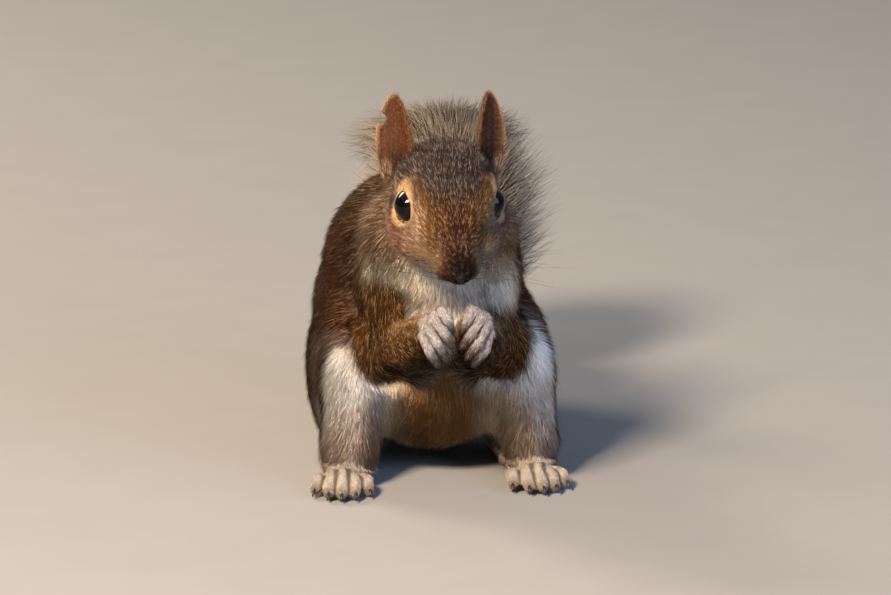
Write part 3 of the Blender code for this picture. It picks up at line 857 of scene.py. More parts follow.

    # Ears: rusty hollow with painted shade at its foot, a pale rim, and brown behind
    for _, s in SIDES:
        outwards, _, up, half, open_way = in_ear(co, s)
        ear = part["ear"] * (co[:, 0] * s > 0)
        inside = step(-0.25, 0.25, n @ open_way)
        blotch = wander(co, 3.2, 0.3)
        lay("crown", ear, 0.6)
        lay("concha", ear * inside, 0.35)
        lay("ear_edge", ear * inside * step(0.35, -0.6, outwards / half + 0.3 * blotch), 0.4)
        lay("shade", ear * inside * step(0.1, 0.9, blotch) * 0.45, 0.4)
        # Painted shade deep in the hollow, near the ear's foot
        hollow = step(0.75, 0.25, np.abs(outwards / half - 0.05)) * step(0.50, 0.16, up)
        lay("shade", ear * inside * hollow * 0.9, 0.3)
        foot = step(0.30, 0.08, up + 0.05 * ragged)
        lay("crown", ear * foot * step(0.2, -0.3, outwards / half), 1.0)
        lay("cheek", ear * foot * step(0.35, 0.7, outwards / half), 0.6)
        rim = np.maximum(step(1.3, 0.3, half - np.abs(outwards)), step(0.93, 0.98, up))
        edge = ear * rim * step(0.25, 0.5, up)
        lay("ring", edge * (0.15 + 0.5 * step(-0.3, 0.8, outwards / half)), 0.2)

    # Hands and feet: pale hair on the digits, painted shade between them, dark skin at their ends
    for _, s in SIDES:
        own = co[:, 0] * s > 0
        hand, foot = part["hand"] * own, part["foot"] * own
        apart, share, _ = beside_digits(co, [finger_line(s, f) for f in range(4)])
        lay("hand", hand, 0.9)
        # Painted shade on the hand's side that faces the body, and in the grooves between fingers
        lay("shade", hand * step(-0.2, 0.5, n[:, 1]) * 0.6, 0.6)
        lay("shade", hand * step(1.1, 0.25, apart) * step(0.02, 0.2, share) * 0.85, 0.2)
        lay("shade", hand * step(0.55, 0.86, share + 0.06 * ragged) * 0.8, 0.4)
        apart, share, _ = beside_digits(co, [toe_line(s, t) for t in range(5)])
        lay("foot", foot, 0.8)
        lay("cream", foot * step(-60, -84, y) * 0.45, 0.6)
        # Painted shade in the grooves between the toes
        lay("shade", foot * step(1.3, 0.3, apart) * step(0.05, 0.25, share) * 0.8, 0.2)
        lay("shade", foot * step(0.75, 1.0, share) * 0.5, 0.3)
    lay("tail_root", part["tail"], 0.6)

    bare = head * step(33.8, 35.0, hy - 0.2 * hx)
    for _, s in SIDES:
        off = co - np.array(eye_centre(s))
        distance = np.linalg.norm(off, axis=1) / MM
        lean = (off @ np.array(eye_axis(s))) / MM / np.maximum(distance, 1e-6)
        bare = np.maximum(bare, step(7.3, 6.9, distance) * step(0.2, 0.3, lean))
    return paint, tick, bare


def dress_skin(skin, regions, colours):
    """Stores on the skin what its material and the coat read, and gives it its material."""
    mesh = skin.data
    co, n, edges = points(mesh), normals(mesh), edges_of(mesh)
    stump = (regions == FLESH.index("trunk")) & (co[:, 1] > 36 * MM) & (co[:, 2] < 35 * MM)
    regions = np.where(stump, FLESH.index("tail"), regions)
    sharp = relaxed(np.eye(len(FLESH))[regions], edges, 3)
    weights = relaxed(sharp, edges, 12)
    part, near = ({p: w[:, k] for k, p in enumerate(FLESH)} for w in (sharp, weights))
    paint, tick, bare = markings(co, n, part, near, colours)
    table = np.array([BODY[p][2:] for p in FLESH], float)
    hair = weights @ table
    hair[:, 3] = sharp @ table[:, 3]
    h = in_head(co)
    head = weights[:, FLESH.index("head")] + weights[:, FLESH.index("eye")]
    muzzle = head * step(2, 30, h[:, 1])
    hair[:, 0] = hair[:, 0] * (1 - 0.55 * muzzle)
    hair[:, 3] = hair[:, 3] * (1 + 0.4 * muzzle)
    for _, s in SIDES:
        distance = np.linalg.norm(co - np.array(eye_centre(s)), axis=1) / MM
        near = step(12.0, 7.5, distance)
        hair[:, 0] *= 1 - 0.62 * near
        hair[:, 3] *= 1 + 0.5 * near
    for _, s in SIDES:
        outwards, _, up, half, _ = in_ear(co, s)
        ear = weights[:, FLESH.index("ear")] * (co[:, 0] * s > 0)
        aside = step(0.1, 0.5, np.abs(outwards / half))
        foot = (ear * step(0.36, 0.10, up) * (0.25 + 0.75 * aside))[:, None]
        hair += (np.array((3.6, 0.19, 24, 8.0)) - hair) * foot
        rim = step(1.2, 0.4, half - np.abs(outwards)) * step(0.2, 0.4, up)
        hair += (np.array((2.3, 0.12, 24, 8.0)) - hair) * (ear * rim)[:, None]
        _, share, _ = beside_digits(co, [toe_line(s, t) for t in range(5)])
        toes = weights[:, FLESH.index("foot")] * (co[:, 0] * s > 0) * step(0.1, 0.4, share)
        hair[:, 0] *= 1 - 0.4 * toes
    hair[:, 3] *= (1 - bare) * (1 - 0.5 * stump)
    hair[:, 3] *= step(0.0, 1.0, co[:, 2] / MM)
    attribute(mesh, "marking", paint, "FLOAT_COLOR")
    attribute(mesh, "bare", bare)
    attribute(mesh, "tick", tick)
    attribute(mesh, "hair", hair[:, :3], "FLOAT_VECTOR")
    attribute(mesh, "density", hair[:, 3])
    attribute(mesh, "lie", lie_of_coat(co, n, weights, edges), "FLOAT_VECTOR")
    for k, p in enumerate(FLESH):
        attribute(mesh, "part_" + p, sharp[:, k])
    mesh.materials.append(skin_material())


def skin_material():
    """Short down on hide: soft, matt and finely pitted; bare rims and nose are darker."""
    material, tree, shader = new_material("downy_hide", specular=0.25)
    marking, bare = read_marks(tree, "marking", "bare")
    place = add_node(tree, "TexCoord")
    down = add_node(tree, "TexNoise", Vector=place.outputs["Object"], Scale=1800.0, Detail=3.0)
    stops = {"stops": ((0.3, 0.45), (0.7, 0.95))}
    shade = add_node(tree, "ValToRGB", stops, Fac=down.outputs["Fac"]).outputs["Color"]
    fur = add_node(tree, "Mix", TIMES, _0=1.0, _6=marking.outputs["Color"], _7=shade)
    hide = (*linear("1B110C"), 1.0)
    rim = add_node(tree, "Mix", BLEND, _0=bare.outputs["Fac"], _6=fur.outputs[2], _7=hide)
    link(tree, rim.outputs[2], shader, "Base Color")
    rough = add_node(tree, "MapRange", Value=bare.outputs["Fac"], _3=0.85, _4=0.5)
    link(tree, rough.outputs[0], shader, "Roughness")
    pits = add_node(tree, "Bump", Strength=0.5, Distance=0.25 * MM, Height=down.outputs["Fac"])
    link(tree, pits.outputs[0], shader, "Normal")
    return material


# ------------------------------------------------------------------ tufts


def scatter(skin, parts, thickness, rng):
    """Roots of tufts over the named parts, with all that the skin says of them."""
    mesh = skin.data
    mesh.calc_loop_triangles()
    count = len(mesh.loop_triangles)
    corner = read(mesh.loop_triangles, "vertices", 3, np.int64)
    loops = read(mesh.loop_triangles, "loops", 3, np.int64)
    co, n = points(mesh), normals(mesh)
    own = sum(read_attribute(mesh, "part_" + p) for p in parts)
    density = read_attribute(mesh, "density") * own * thickness
    a, b, c = co[corner[:, 0]], co[corner[:, 1]], co[corner[:, 2]]
    area = 0.5 * np.linalg.norm(np.cross(b - a, c - a), axis=1) / MM**2
    mass = np.cumsum(area * density[corner].mean(1))
    total = int(mass[-1])
    face = np.searchsorted(mass, (np.arange(total) + rng.random(total)) / total * mass[-1])
    face = np.minimum(face, count - 1)
    u, v = rng.random(total), rng.random(total)
    over = u + v > 1
    u, v = np.where(over, 1 - u, u), np.where(over, 1 - v, v)
    share = np.column_stack([1 - u - v, u, v])
    flat = read(mesh.uv_layers[0].data, "uv", 2)

    def mixed(values):
        picked = values[corner[face]]
        return np.einsum("ij,ij...->i...", share, picked)

    hair = mixed(read_attribute(mesh, "hair", "FLOAT_VECTOR"))
    return {
        "at": mixed(co), "n": unit(mixed(n)),
        "lie": unit(mixed(read_attribute(mesh, "lie", "FLOAT_VECTOR"))),
        "paint": mixed(read_attribute(mesh, "marking", "FLOAT_COLOR")),
        "tick": mixed(read_attribute(mesh, "tick")), "length": hair[:, 0] * MM,
        "width": hair[:, 1] * MM, "lift": np.radians(hair[:, 2]),
        "uv": np.einsum("ij,ijk->ik", share, flat[loops[face]]),
    }


def tuft_mesh(name, spine, width, uv, paint, along, tick):
    """Closed tapering tufts along spines (tuft, stop, xyz).

    Two stops give a cone with three sides. More stops give a spindle that is
    pointed at both ends, with a ring of three corners at each stop between.
    """
    count, stops, _ = spine.shape
    cone = stops == 2
    rings = 1 if cone else stops - 2
    first_ring = 0 if cone else 1
    per = first_ring + rings * 3 + 1
    tangent = unit(spine[:, 1:] - spine[:, :-1] if cone else spine[:, 2:] - spine[:, :-2])
    helper = np.where(np.abs(tangent[..., 2:3]) > 0.9, (1.0, 0, 0), (0, 0, 1.0))
    first = unit(np.cross(tangent, helper))
    second = np.cross(tangent, first)
    taper = np.linspace(1.0, 0.62, rings)[None, :, None]
    middle = spine[:, :1] if cone else spine[:, 1:-1]
    share = np.zeros(per)
    share[-1] = 1
    patch = np.zeros((per, 2))
    patch[0], patch[-1] = (0, -1.5 * MM), (0, 1.5 * MM)
    co = np.empty((count, per, 3))
    co[:, 0], co[:, -1] = spine[:, 0], spine[:, -1]
    for k in range(3):
        angle = 2 * math.pi * k / 3
        ring = math.cos(angle) * first + math.sin(angle) * second
        co[:, first_ring + k : per - 1 : 3] = middle + ring * width[:, None, None] * 0.5 * taper
        for r in range(rings):
            row = first_ring + 3 * r + k
            share[row] = 0 if cone else (r + 1) / (rings + 1)
            patch[row] = np.array((math.cos(angle), math.sin(angle) * 0.3)) * 1.5 * MM
            patch[row, 1] += (2 * share[row] - 1) * 1.0 * MM
    faces = [(0, 2, 1)] if cone else []
    for k in range(3):
        a, b = first_ring + k, first_ring + (k + 1) % 3
        if not cone:
            faces.append((0, b, a))
        for r in range(rings - 1):
            p, q = a + 3 * r, b + 3 * r
            faces.extend([(p, q, q + 3), (p, q + 3, p + 3)])
        faces.append((a + 3 * rings - 3, b + 3 * rings - 3, per - 1))
    faces = np.array(faces)
    index = (np.arange(count)[:, None, None] * per + faces[None]).reshape(-1)
    mesh = bpy.data.meshes.new(name)
    mesh.vertices.add(count * per)
    mesh.loops.add(len(index))
    mesh.polygons.add(len(index) // 3)
    mesh.vertices.foreach_set("co", co.astype(np.float32).ravel())
    mesh.loops.foreach_set("vertex_index", index.astype(np.int32))
    mesh.polygons.foreach_set("loop_start", np.arange(0, len(index), 3, dtype=np.int32))
    mesh.polygons.foreach_set("use_smooth", np.ones(len(index) // 3, bool))
    mesh.update(calc_edges=True)
    layer = mesh.uv_layers.new(name="OFBake")
    corners = (uv[:, None] + patch).reshape(-1, 2)[index]
    layer.data.foreach_set("uv", corners.astype(np.float32).ravel())
    attribute(mesh, "marking", np.repeat(paint, per, 0), "FLOAT_COLOR")
    attribute(mesh, "along", (along[:, None] + (1 - along[:, None]) * share).ravel())
    attribute(mesh, "tick", np.repeat(tick, per))
    obj = bpy.data.objects.new(name, mesh)
    bpy.context.scene.collection.objects.link(obj)
    return obj


def hair_piece(name, slot, material, mine, spine, *values):
    """One piece made of the tufts that are marked as mine, riding on the body."""
    obj = tuft_mesh(name, spine[mine], *(v[mine] for v in values))
    if len(obj.data.polygons) >= MOST_FACES:
        raise RuntimeError(f"{obj.name} has too many faces: {len(obj.data.polygons)}")
    obj.data.materials.append(material)
    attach(obj, "root")
    return obj


def combed(roots, rng):
    """Root and tip of each tuft, which lies along the coat at its lift."""
    count = len(roots["at"])
    n, lie = roots["n"], roots["lie"]
    cross = np.cross(n, lie)
    turn = 0.22 * wander(roots["at"], 7.0, 0.4) + 0.16 * wander(roots["at"], 2.6, 2.0)
    turn += 0.13 * rng.standard_normal(count)
    way = lie * np.cos(turn)[:, None] + cross * np.sin(turn)[:, None]
    length = roots["length"] * np.clip(1 + 0.22 * rng.standard_normal(count), 0.5, 1.6)
    lift = roots["lift"] * np.clip(1 + 0.35 * rng.standard_normal(count), 0.2, 2.2)
    rise = way * np.cos(lift)[:, None] + n * np.sin(lift)[:, None]
    start = roots["at"] - n * (0.3 * roots["width"])[:, None]
    spine = np.stack([start, roots["at"] + rise * length[:, None]], axis=1)
    spine[..., 2] = np.maximum(spine[..., 2], 0.25 * MM)
    return spine


def clear_of_eyes(spine):
    keep = np.ones(len(spine), bool)
    for _, s in SIDES:
        centre, axis = np.array(eye_centre(s)), np.array(eye_axis(s))
        for stop in range(1, spine.shape[1]):
            off = spine[:, stop] - centre
            distance = np.linalg.norm(off, axis=1)
            over = (off @ axis) / np.maximum(distance, 1e-9) > 0.60
            keep &= ~(over & (distance < 9.5 * MM))
    return keep


def grow(name, parts, slot, material, settings, seed, split=None):
    """One or more coat pieces over the named parts."""
    rng = np.random.default_rng(seed)
    skin = bpy.data.objects["skin"]
    roots = scatter(skin, parts, settings.thickness, rng)
    spine = combed(roots, rng)
    keep = clear_of_eyes(spine)
    fleck = wander(roots["at"], 0.55, 1.7) * 0.9 + rng.uniform(-0.75, 0.75, len(spine))
    tick = np.where(fleck < DARK_BELOW, -1.0, np.where(fleck > PALE_ABOVE, 1.0, 0.0))
    tick = tick * roots["tick"] * (0.7 + 0.3 * rng.random(len(spine)))
    tone = 1 + 0.10 * rng.standard_normal(len(spine)) + 0.10 * wander(roots["at"], 5.0, 1.0)
    tone += 0.10 * wander(roots["at"], 0.9, 2.4)
    paint = roots["paint"] * np.clip(tone, 0.6, 1.5)[:, None]
    along = np.clip(0.45 * (1 - roots["tick"]), 0, 0.45)
    groups = split(roots["at"]) if split else np.zeros(len(spine), int)
    for group in range(groups.max() + 1):
        mine = keep & (groups == group)
        label = f"{name}_{group + 1}" if groups.max() else name
        values = roots["width"], roots["uv"], paint, along, tick
        hair_piece(label, slot, material, mine, spine, *values)


def coat_material(name, tip_dark, tip_pale):
    """Agouti hair: a dusky root, the marking's colour along the shaft, a ticked end."""
    material, tree, shader = new_material(name, roughness=0.62, specular=0.10)
    marking, along, tick = read_marks(tree, "marking", "along", "tick")
    along, tick = along.outputs["Fac"], tick.outputs["Fac"]
    stops = {"stops": ((0.0, 0.35), (0.25, 0.62), (0.5, 1.0))}
    root = add_node(tree, "ValToRGB", stops, Fac=along).outputs["Color"]
    base = add_node(tree, "Mix", TIMES, _0=1.0, _6=marking.outputs["Color"], _7=root)
    end = add_node(tree, "MapRange", Value=along, _1=0.30, _2=0.75)
    stops = {"stops": ((0.30, 0.0), (0.42, 1.0), (0.72, 1.0), (0.86, 0.15))}
    band = add_node(tree, "ValToRGB", stops, Fac=along).outputs["Color"]
    # Hairs ticked below nought end dark, and those ticked above it have a pale band
    dark = add_node(tree, "Math", CLAMPED, _0=tick, _1=-0.85)
    dark = add_node(tree, "Math", PRODUCT, _0=dark.outputs[0], _1=end.outputs[0])
    pale = add_node(tree, "Math", CLAMPED, _0=tick, _1=0.85)
    pale = add_node(tree, "Math", PRODUCT, _0=pale.outputs[0], _1=band)
    tip_dark, tip_pale = (*linear(tip_dark), 1.0), (*linear(tip_pale), 1.0)
    darker = add_node(tree, "Mix", BLEND, _0=dark.outputs[0], _6=base.outputs[2], _7=tip_dark)
    lift = (3.4, 3.1, 2.7, 1.0)
    bright = add_node(tree, "Mix", TIMES, _0=1.0, _6=marking.outputs["Color"], _7=lift)
    bright = add_node(tree, "Mix", BLEND, _0=0.42, _6=bright.outputs[2], _7=tip_pale)
    paler = add_node(
        tree, "Mix", {**BLEND, "clamp_result": True},
        _0=pale.outputs[0], _6=darker.outputs[2], _7=bright.outputs[2],
    )
    link(tree, paler.outputs[2], shader, "Base Color")
    return material


class OBJECT_OT_squirrel_coat(bpy.types.Operator):
    """Tufts over the head, trunk, limbs and ears"""

    bl_idname = "object.squirrel_coat"
    bl_label = "Coat"

    def execute(self, context):
        settings = context.scene.squirrel_coat
        fur = coat_material("agouti_fur", "1C1512", "E3CFAE")
        seed = settings.seed

        def halves(at):
            return (at[:, 0] > 0).astype(int)

        def quarters(at):
            return halves(at) + 2 * (at[:, 1] > MIDDLE_OF_TRUNK).astype(int)

        grow("coat_head", ("head", "eye"), "back_fur", fur, settings, seed, halves)
        grow("coat_ears", ("ear",), "ear_skin", fur, settings, seed + 1)
        grow("coat_neck", ("neck",), "back_fur", fur, settings, seed + 2)
        grow("coat_trunk", ("trunk",), "back_fur", fur, settings, seed + 3, quarters)
        grow("coat_thighs", ("thigh",), "belly_fur", fur, settings, seed + 4, halves)
        grow("coat_arms", ("upper_arm", "forearm"), "back_fur", fur, settings, seed + 5)
        grow("coat_hands_and_feet", ("hand", "foot"), "hand_fur", fur, settings, seed + 6)
        return {"FINISHED"}


class OBJECT_OT_squirrel_tail(bpy.types.Operator):
    """Long banded hair of the tail, combed out to both sides of its core"""

    bl_idname = "object.squirrel_tail"
    bl_label = "Tail hair"

    def execute(self, context):
        settings = context.scene.squirrel_coat
        colours = context.scene.squirrel_colours
        rng = np.random.default_rng(settings.seed + 20)
        skin = bpy.data.objects["skin"]
        roots = scatter(skin, ("tail",), settings.thickness * 9.2, rng)
        last = TAIL_STEPS - 1
        path, tangents = tail_path(TAIL_STEPS)
        at = roots["at"]
        count = len(at)
        nearest = np.argmin(
            np.stack([np.linalg.norm(at - p, axis=1) for p in path[::2]]), axis=0
        ) * 2
        share = nearest / last
        across = unit(np.array((1.0, 0, 0)) - tangents * tangents[:, :1])
        deep = np.cross(tangents, across)
        off = at - path[nearest]
        angle = np.arctan2((off * deep[nearest]).sum(1) * 1.6, (off * across[nearest]).sum(1))
        angle = angle + 0.14 * rng.standard_normal(count) + 0.30 * wander(at, 2.2, 0.9)
        reach = np.clip(rng.normal(0.86, 0.16, count), 0.35, 1.12)
        lean = (0.07 + 0.07 * rng.random(count)) * (0.35 + 0.65 * reach)
        end = share + lean
        beyond = np.clip(end - 1, 0, None)
        wide, tall = plume(np.clip(end, 0, 0.985))
        there = np.minimum((np.clip(end, 0, 1) * last).astype(int), last)
        tip = (
            path[there]
            + tangents[there] * (TAIL_RUN * beyond)[:, None]
            + across[there] * (np.cos(angle) * wide * reach)[:, None]
            + deep[there] * (np.sin(angle) * tall * reach)[:, None]
        )
        out = unit(tip - at)
        span = np.linalg.norm(tip - at, axis=1)
        sag = 0.23 * span * (0.5 + rng.random(count))
        side = unit(np.cross(out, rng.standard_normal((count, 3))))
        bow = -tangents[nearest] * 0.8 + side * 0.7
        one = at + out * (0.33 * span)[:, None] + bow * (0.55 * sag)[:, None]
        two = at + out * (0.68 * span)[:, None] + bow * (0.50 * sag)[:, None]
        spine = np.stack([at - out * 0.3 * MM, one, two, tip], axis=1)
        spine[..., 2] = np.maximum(spine[..., 2], 0.3 * MM)
        tone = np.clip(1 + 0.13 * rng.standard_normal(count), 0.6, 1.5)
        paint = np.tile(np.array(colours.tail_root), (count, 1)) * tone[:, None]
        aside = np.abs(np.cos(angle)) * np.clip(reach, 0, 1)
        band = 0.66 - 0.13 * aside + 0.10 * rng.standard_normal(count)
        width = 0.35 * MM * (0.7 + 0.5 * rng.random(count))
        stretch = np.minimum((share * 3.6).astype(int), 3)
        material = tail_material(colours)
        for group in range(4):
            name, mine = f"tail_hair_{group + 1}", stretch == group
            values = width, roots["uv"], paint, np.zeros(count), band
            obj = hair_piece(name, "tail_hair", material, mine, spine, *values)
            if group == 0:
                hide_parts(*TAIL_NODES)
        return {"FINISHED"}


def tail_material(colours):
    """Banded guard hair: tan at the foot, a black band, then a long silvery end."""
    material, tree, shader = new_material("banded_tail_hair", roughness=0.5, specular=0.4)
    marking, along, band = read_marks(tree, "marking", "along", "tick")
    shifted = add_node(
        tree, "Math", {"operation": "SUBTRACT"}, _0=along.outputs["Fac"], _1=band.outputs["Fac"]
    )
    shifted = add_node(tree, "Math", {"operation": "ADD"}, _0=shifted.outputs[0], _1=0.5)
    tone = marking.outputs["Color"]
    for stops, name in (
        (((0.28, 0.0), (0.39, 1.0), (0.60, 1.0), (0.68, 0.0)), "tail_band"),
        (((0.61, 0.0), (0.72, 1.0)), "tail_tip"),
    ):
        share = add_node(tree, "ValToRGB", {"stops": stops}, Fac=shifted.outputs[0])
        over = (*getattr(colours, name), 1.0)
        mixed = add_node(tree, "Mix", BLEND, _0=share.outputs["Color"], _6=tone, _7=over)
        tone = mixed.outputs[2]
    link(tree, tone, shader, "Base Color")
    return material


# ------------------------------------------------------------------ eyes, claws, whiskers


class OBJECT_OT_squirrel_eyes(bpy.types.Operator):
    """Dark glass eyes with a raised cornea"""

    bl_idname = "object.squirrel_eyes"
    bl_label = "Eyes"

    def execute(self, context):
        radius = context.scene.squirrel_skin.eye
        for tag, side in SIDES:
            centre, axis = eye_centre(side), eye_axis(side)
            bpy.ops.object.select_all(action="DESELECT")
            bpy.ops.mesh.primitive_uv_sphere_add(segments=64, ring_count=48, radius=radius)
            ball = bpy.context.object
            co = points(ball.data)
            lean = co[:, 2] / radius
            raised = 1 + 0.045 * step(0.70, 1.0, lean)
            place_points(ball.data, co * raised[:, None])
            ball.matrix_world = axis_frame(centre, axis, Vector((0, 0, 1)))
            settled(ball)
            ball.name = ball.data.name = "eyeball_" + tag
            ball.data.shade_smooth()
            ball.data.materials.append(eye_material(tag, centre, axis, radius))
            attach(ball, "root")
            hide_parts("eye_" + tag)
        return {"FINISHED"}


def eye_material(tag, centre, axis, radius):
    """Near-black brown iris under a clear polished cornea, with a black pupil."""
    material, tree, shader = new_material("glass_eye_" + tag, roughness=0.05, specular=0.3)
    shader.inputs["IOR"].default_value = 1.38
    place = add_node(tree, "TexCoord").outputs["Object"]
    pole = tuple(centre + axis * radius)
    off = add_node(tree, "VectorMath", {"operation": "DISTANCE"}, _0=place, _1=pole)
    share = add_node(tree, "MapRange", Value=off.outputs["Value"], _1=0.0, _2=radius * 1.1)
    stops = (0.0, "020101"), (0.42, "030202"), (0.55, "140A06"), (0.85, "1C0F08"), (1.0, "060403")
    stops = {"stops": [(at, linear(code)) for at, code in stops]}
    iris = add_node(tree, "ValToRGB", stops, Fac=share.outputs[0])
    link(tree, iris.outputs["Color"], shader, "Base Color")
    return material


def spike(stops, radii, sides):
    """A tapering solid pulled out of a disc, ring by ring, ending in a point."""
    bpy.ops.object.select_all(action="DESELECT")
    first = Vector(stops[1]) - Vector(stops[0])
    turn = first.to_track_quat("Z", "Y")
    bpy.ops.mesh.primitive_circle_add(
        vertices=sides, radius=radii[0], fill_type="NGON", location=stops[0],
        rotation=turn.to_euler(),
    )
    obj = bpy.context.object
    settled(obj)
    bpy.ops.object.mode_set(mode="EDIT")
    bpy.ops.mesh.select_all(action="SELECT")
    for (a, b), (wide, thin) in zip(zip(stops, stops[1:]), zip(radii, radii[1:])):
        bpy.ops.mesh.extrude_region_move(
            TRANSFORM_OT_translate={"value": tuple(Vector(b) - Vector(a))}
        )
        bpy.ops.transform.resize(value=(thin / wide,) * 3, center_override=tuple(b))
    bpy.ops.mesh.merge(type="CENTER")
    bpy.ops.mesh.select_all(action="SELECT")
    bpy.ops.mesh.normals_make_consistent(inside=False)
    bpy.ops.object.mode_set(mode="OBJECT")
    obj.data.shade_smooth()
    return obj


class OBJECT_OT_squirrel_claws(bpy.types.Operator):
    """Curved dark claws on every finger and toe"""

    bl_idname = "object.squirrel_claws"
    bl_label = "Claws"

    def execute(self, context):
        claws = []
        up = Vector((0, 0, 1))
        for _, side in SIDES:
            for toe in range(5):
                root, tip = toe_line(side, toe)
                way = (tip - root).normalized()
                curve = (-0.6, 0.5), (1.0, 0.7), (2.3, 0.1), (3.3, -1.2)
                start = tip + way * 0.6 * MM
                claws.append(self.claw(start, way, up, curve, (0.8, 0.62, 0.42, 0.1), 10))
            for finger in range(4):
                _, middle, tip = finger_line(side, finger)
                way = (tip - middle).normalized()
                inwards = Vector((side * -0.2, 0.95, -0.1)).normalized()
                curve = (0, 0), (1.2, 0.1), (2.3, 0.7), (3.0, 1.6)
                start = tip + way * 0.2 * MM - inwards * 0.5 * MM
                claws.append(self.claw(start, way, inwards, curve, (0.62, 0.5, 0.34, 0.08), 8))
        obj = joined(claws, "claws")
        dark = tuple(context.scene.squirrel_colours.claw)
        pale = tuple(min(1.0, 2.4 * c) for c in dark)
        obj.data.materials.append(
            speckled("claw_horn", 0.32, 900.0, ((0.35, dark), (0.75, pale)))
        )
        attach(obj, "root")
        return {"FINISHED"}

    def claw(self, start, way, aside, curve, radii, sides):
        """A claw through (along, aside) stops, which are in millimetres as its radii are."""
        stops = [start + way * along * MM + aside * out * MM for along, out in curve]
        return spike(stops, [radius * MM for radius in radii], sides)


class OBJECT_OT_squirrel_whiskers(bpy.types.Operator):
    """Long dark whiskers from both sides of the muzzle, and a few over the eyes"""

    bl_idname = "object.squirrel_whiskers"
    bl_label = "Whiskers"

    def execute(self, context):
        settings = context.scene.squirrel_coat
        rng = np.random.default_rng(settings.seed + 40)
        turn = head_frame().to_3x3()
        hairs = []
        for _, side in SIDES:
            for row in range(3):
                for column in range(3):
                    spot = side * (5.6 + 0.35 * row), 28.0 - 3.0 * column, -7.2 - 2.0 * row
                    long = settings.whisker * rng.uniform(0.55, 1.0)
                    back = -0.36 + 0.12 * rng.standard_normal()
                    down = -0.12 + 0.16 * rng.standard_normal()
                    way = Vector((side * 0.9, back, down))
                    self.hair(hairs, turn, spot, way, long, rng)
            for k in range(2):
                way = Vector((side * 0.75, -0.55, 0.55 + 0.1 * k))
                spot = (side * (10.0 + k), 6.0 - 2.0 * k, 6.5)
                self.hair(hairs, turn, spot, way, settings.whisker * 0.3, rng)
        obj = joined(hairs, "whiskers")
        stops = (0.3, linear("2A201A")), (0.8, linear("5A4636"))
        obj.data.materials.append(speckled("whisker_keratin", 0.35, 60.0, stops))
        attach(obj, "root")
        return {"FINISHED"}

    def hair(self, hairs, turn, spot, way, long, rng):
        """One whisker from a spot in the skull's axes, drooping towards its tip."""
        way = (turn @ way).normalized()
        start = from_head(spot) - way * 1.0 * MM
        droop = Vector((0, 0.10, -0.16 * rng.uniform(0.6, 1.4)))
        shares = [k / 5 for k in range(6)]
        stops = [start + way * long * t + droop * long * t * t for t in shares]
        radii = [0.075 * MM * (1 - 0.8 * k / 5) for k in range(6)]
        hairs.append(spike(stops, radii, 5))


# ------------------------------------------------------------------ stage


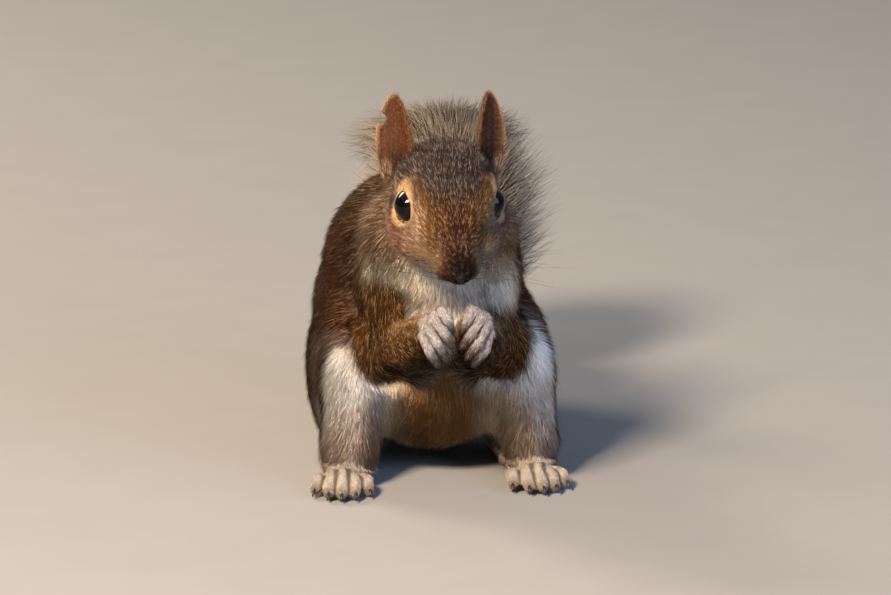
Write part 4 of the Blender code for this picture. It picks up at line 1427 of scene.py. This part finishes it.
class OBJECT_OT_squirrel_stage(bpy.types.Operator):
    """Pale floor, soft lights and the camera"""

    bl_idname = "object.squirrel_stage"
    bl_label = "Stage"

    def execute(self, context):
        scene = context.scene
        bpy.ops.object.select_all(action="DESELECT")
        bpy.ops.mesh.primitive_plane_add(size=STAGE_SIZE)
        floor = bpy.context.object
        floor.name = floor.data.name = "floor"
        base = tuple(scene.squirrel_colours.floor)
        stops = (0.3, base), (0.7, tuple(0.97 * c for c in base))
        floor.data.materials.append(speckled("matt_plaster", 0.9, 40.0, stops))

        # A small warm key from the front left, a broad cool fill, and a rim from behind
        self.light("key", (-0.70, -0.95, 1.00), 0.30, 48.0, linear("FFEAD2"))
        self.light("fill", (1.0, -1.1, 0.6), 0.9, 16.0, linear("ACCAFF"))
        self.light("rim", (-0.60, 0.85, 0.80), 0.4, 12.0, linear("FFF0DC"))
        world = bpy.data.worlds.new("studio")
        scene.world = world
        world.use_nodes = True
        sky = world.node_tree.nodes["Background"]
        sky.inputs["Color"].default_value = (*linear("D4DFF2"), 1.0)
        sky.inputs["Strength"].default_value = 0.30

        turn, rise = math.radians(VIEW_TURN), math.radians(VIEW_RISE)
        right = Vector((math.cos(turn), math.sin(turn), 0))
        flat = math.cos(rise)
        back = Vector((math.sin(turn) * flat, -math.cos(turn) * flat, math.sin(rise)))
        up = back.cross(right)
        across, along, above = VIEW_AIM
        aim = Vector((0, along, 0)) + right * across + up * above
        bpy.ops.object.camera_add(location=aim + back * VIEW_DISTANCE)
        camera = bpy.context.object
        camera.name = "camera"
        camera.rotation_mode = "QUATERNION"
        camera.rotation_quaternion = (-back).to_track_quat("-Z", "Y")
        camera.data.sensor_width = SENSOR
        camera.data.lens = VIEW_DISTANCE / VIEW_WIDTH * SENSOR
        camera.data.clip_end = 50.0
        scene.camera = camera
        scene.view_settings.view_transform = "Standard"
        return {"FINISHED"}

    def light(self, name, spot, size, power, tint):
        bpy.ops.object.light_add(type="AREA", location=spot)
        lamp = bpy.context.object
        lamp.name = name
        lamp.data.size, lamp.data.energy, lamp.data.color = size, power, tint
        aim = Vector((0, -0.02, 0.06)) - Vector(spot)
        lamp.rotation_mode = "QUATERNION"
        lamp.rotation_quaternion = aim.to_track_quat("-Z", "Y")


OPERATORS = (
    OBJECT_OT_squirrel_skin, OBJECT_OT_squirrel_eyes, OBJECT_OT_squirrel_claws,
    OBJECT_OT_squirrel_whiskers, OBJECT_OT_squirrel_coat, OBJECT_OT_squirrel_tail,
    OBJECT_OT_squirrel_stage,
)


class VIEW3D_PT_squirrel(bpy.types.Panel):
    """Lists the squirrel's operators and their settings"""

    bl_idname = "VIEW3D_PT_squirrel"
    bl_label = "Grey squirrel"
    bl_space_type = "VIEW_3D"
    bl_region_type = "UI"
    bl_category = "Squirrel"

    def draw(self, context):
        for operator in OPERATORS:
            self.layout.operator(operator.bl_idname)
        for group in ("squirrel_skin", "squirrel_coat", "squirrel_colours"):
            settings = getattr(context.scene, group)
            for name in settings.bl_rna.properties.keys():
                if name not in ("rna_type", "name"):
                    self.layout.prop(settings, name)


SETTINGS = {
    "squirrel_skin": SquirrelSkinSettings, "squirrel_coat": SquirrelCoatSettings,
    "squirrel_colours": SquirrelColours,
}


def register():
    for cls in (*SETTINGS.values(), *OPERATORS, VIEW3D_PT_squirrel):
        bpy.utils.register_class(cls)
    for name, cls in SETTINGS.items():
        setattr(bpy.types.Scene, name, bpy.props.PointerProperty(type=cls))


def unregister():
    for name in SETTINGS:
        delattr(bpy.types.Scene, name)
    for cls in reversed((*SETTINGS.values(), *OPERATORS, VIEW3D_PT_squirrel)):
        bpy.utils.unregister_class(cls)


def main():
    register()
    for operator in OPERATORS:
        group, name = operator.bl_idname.split(".")
        getattr(getattr(bpy.ops, group), name)()


if __name__ == "__main__":
    main()
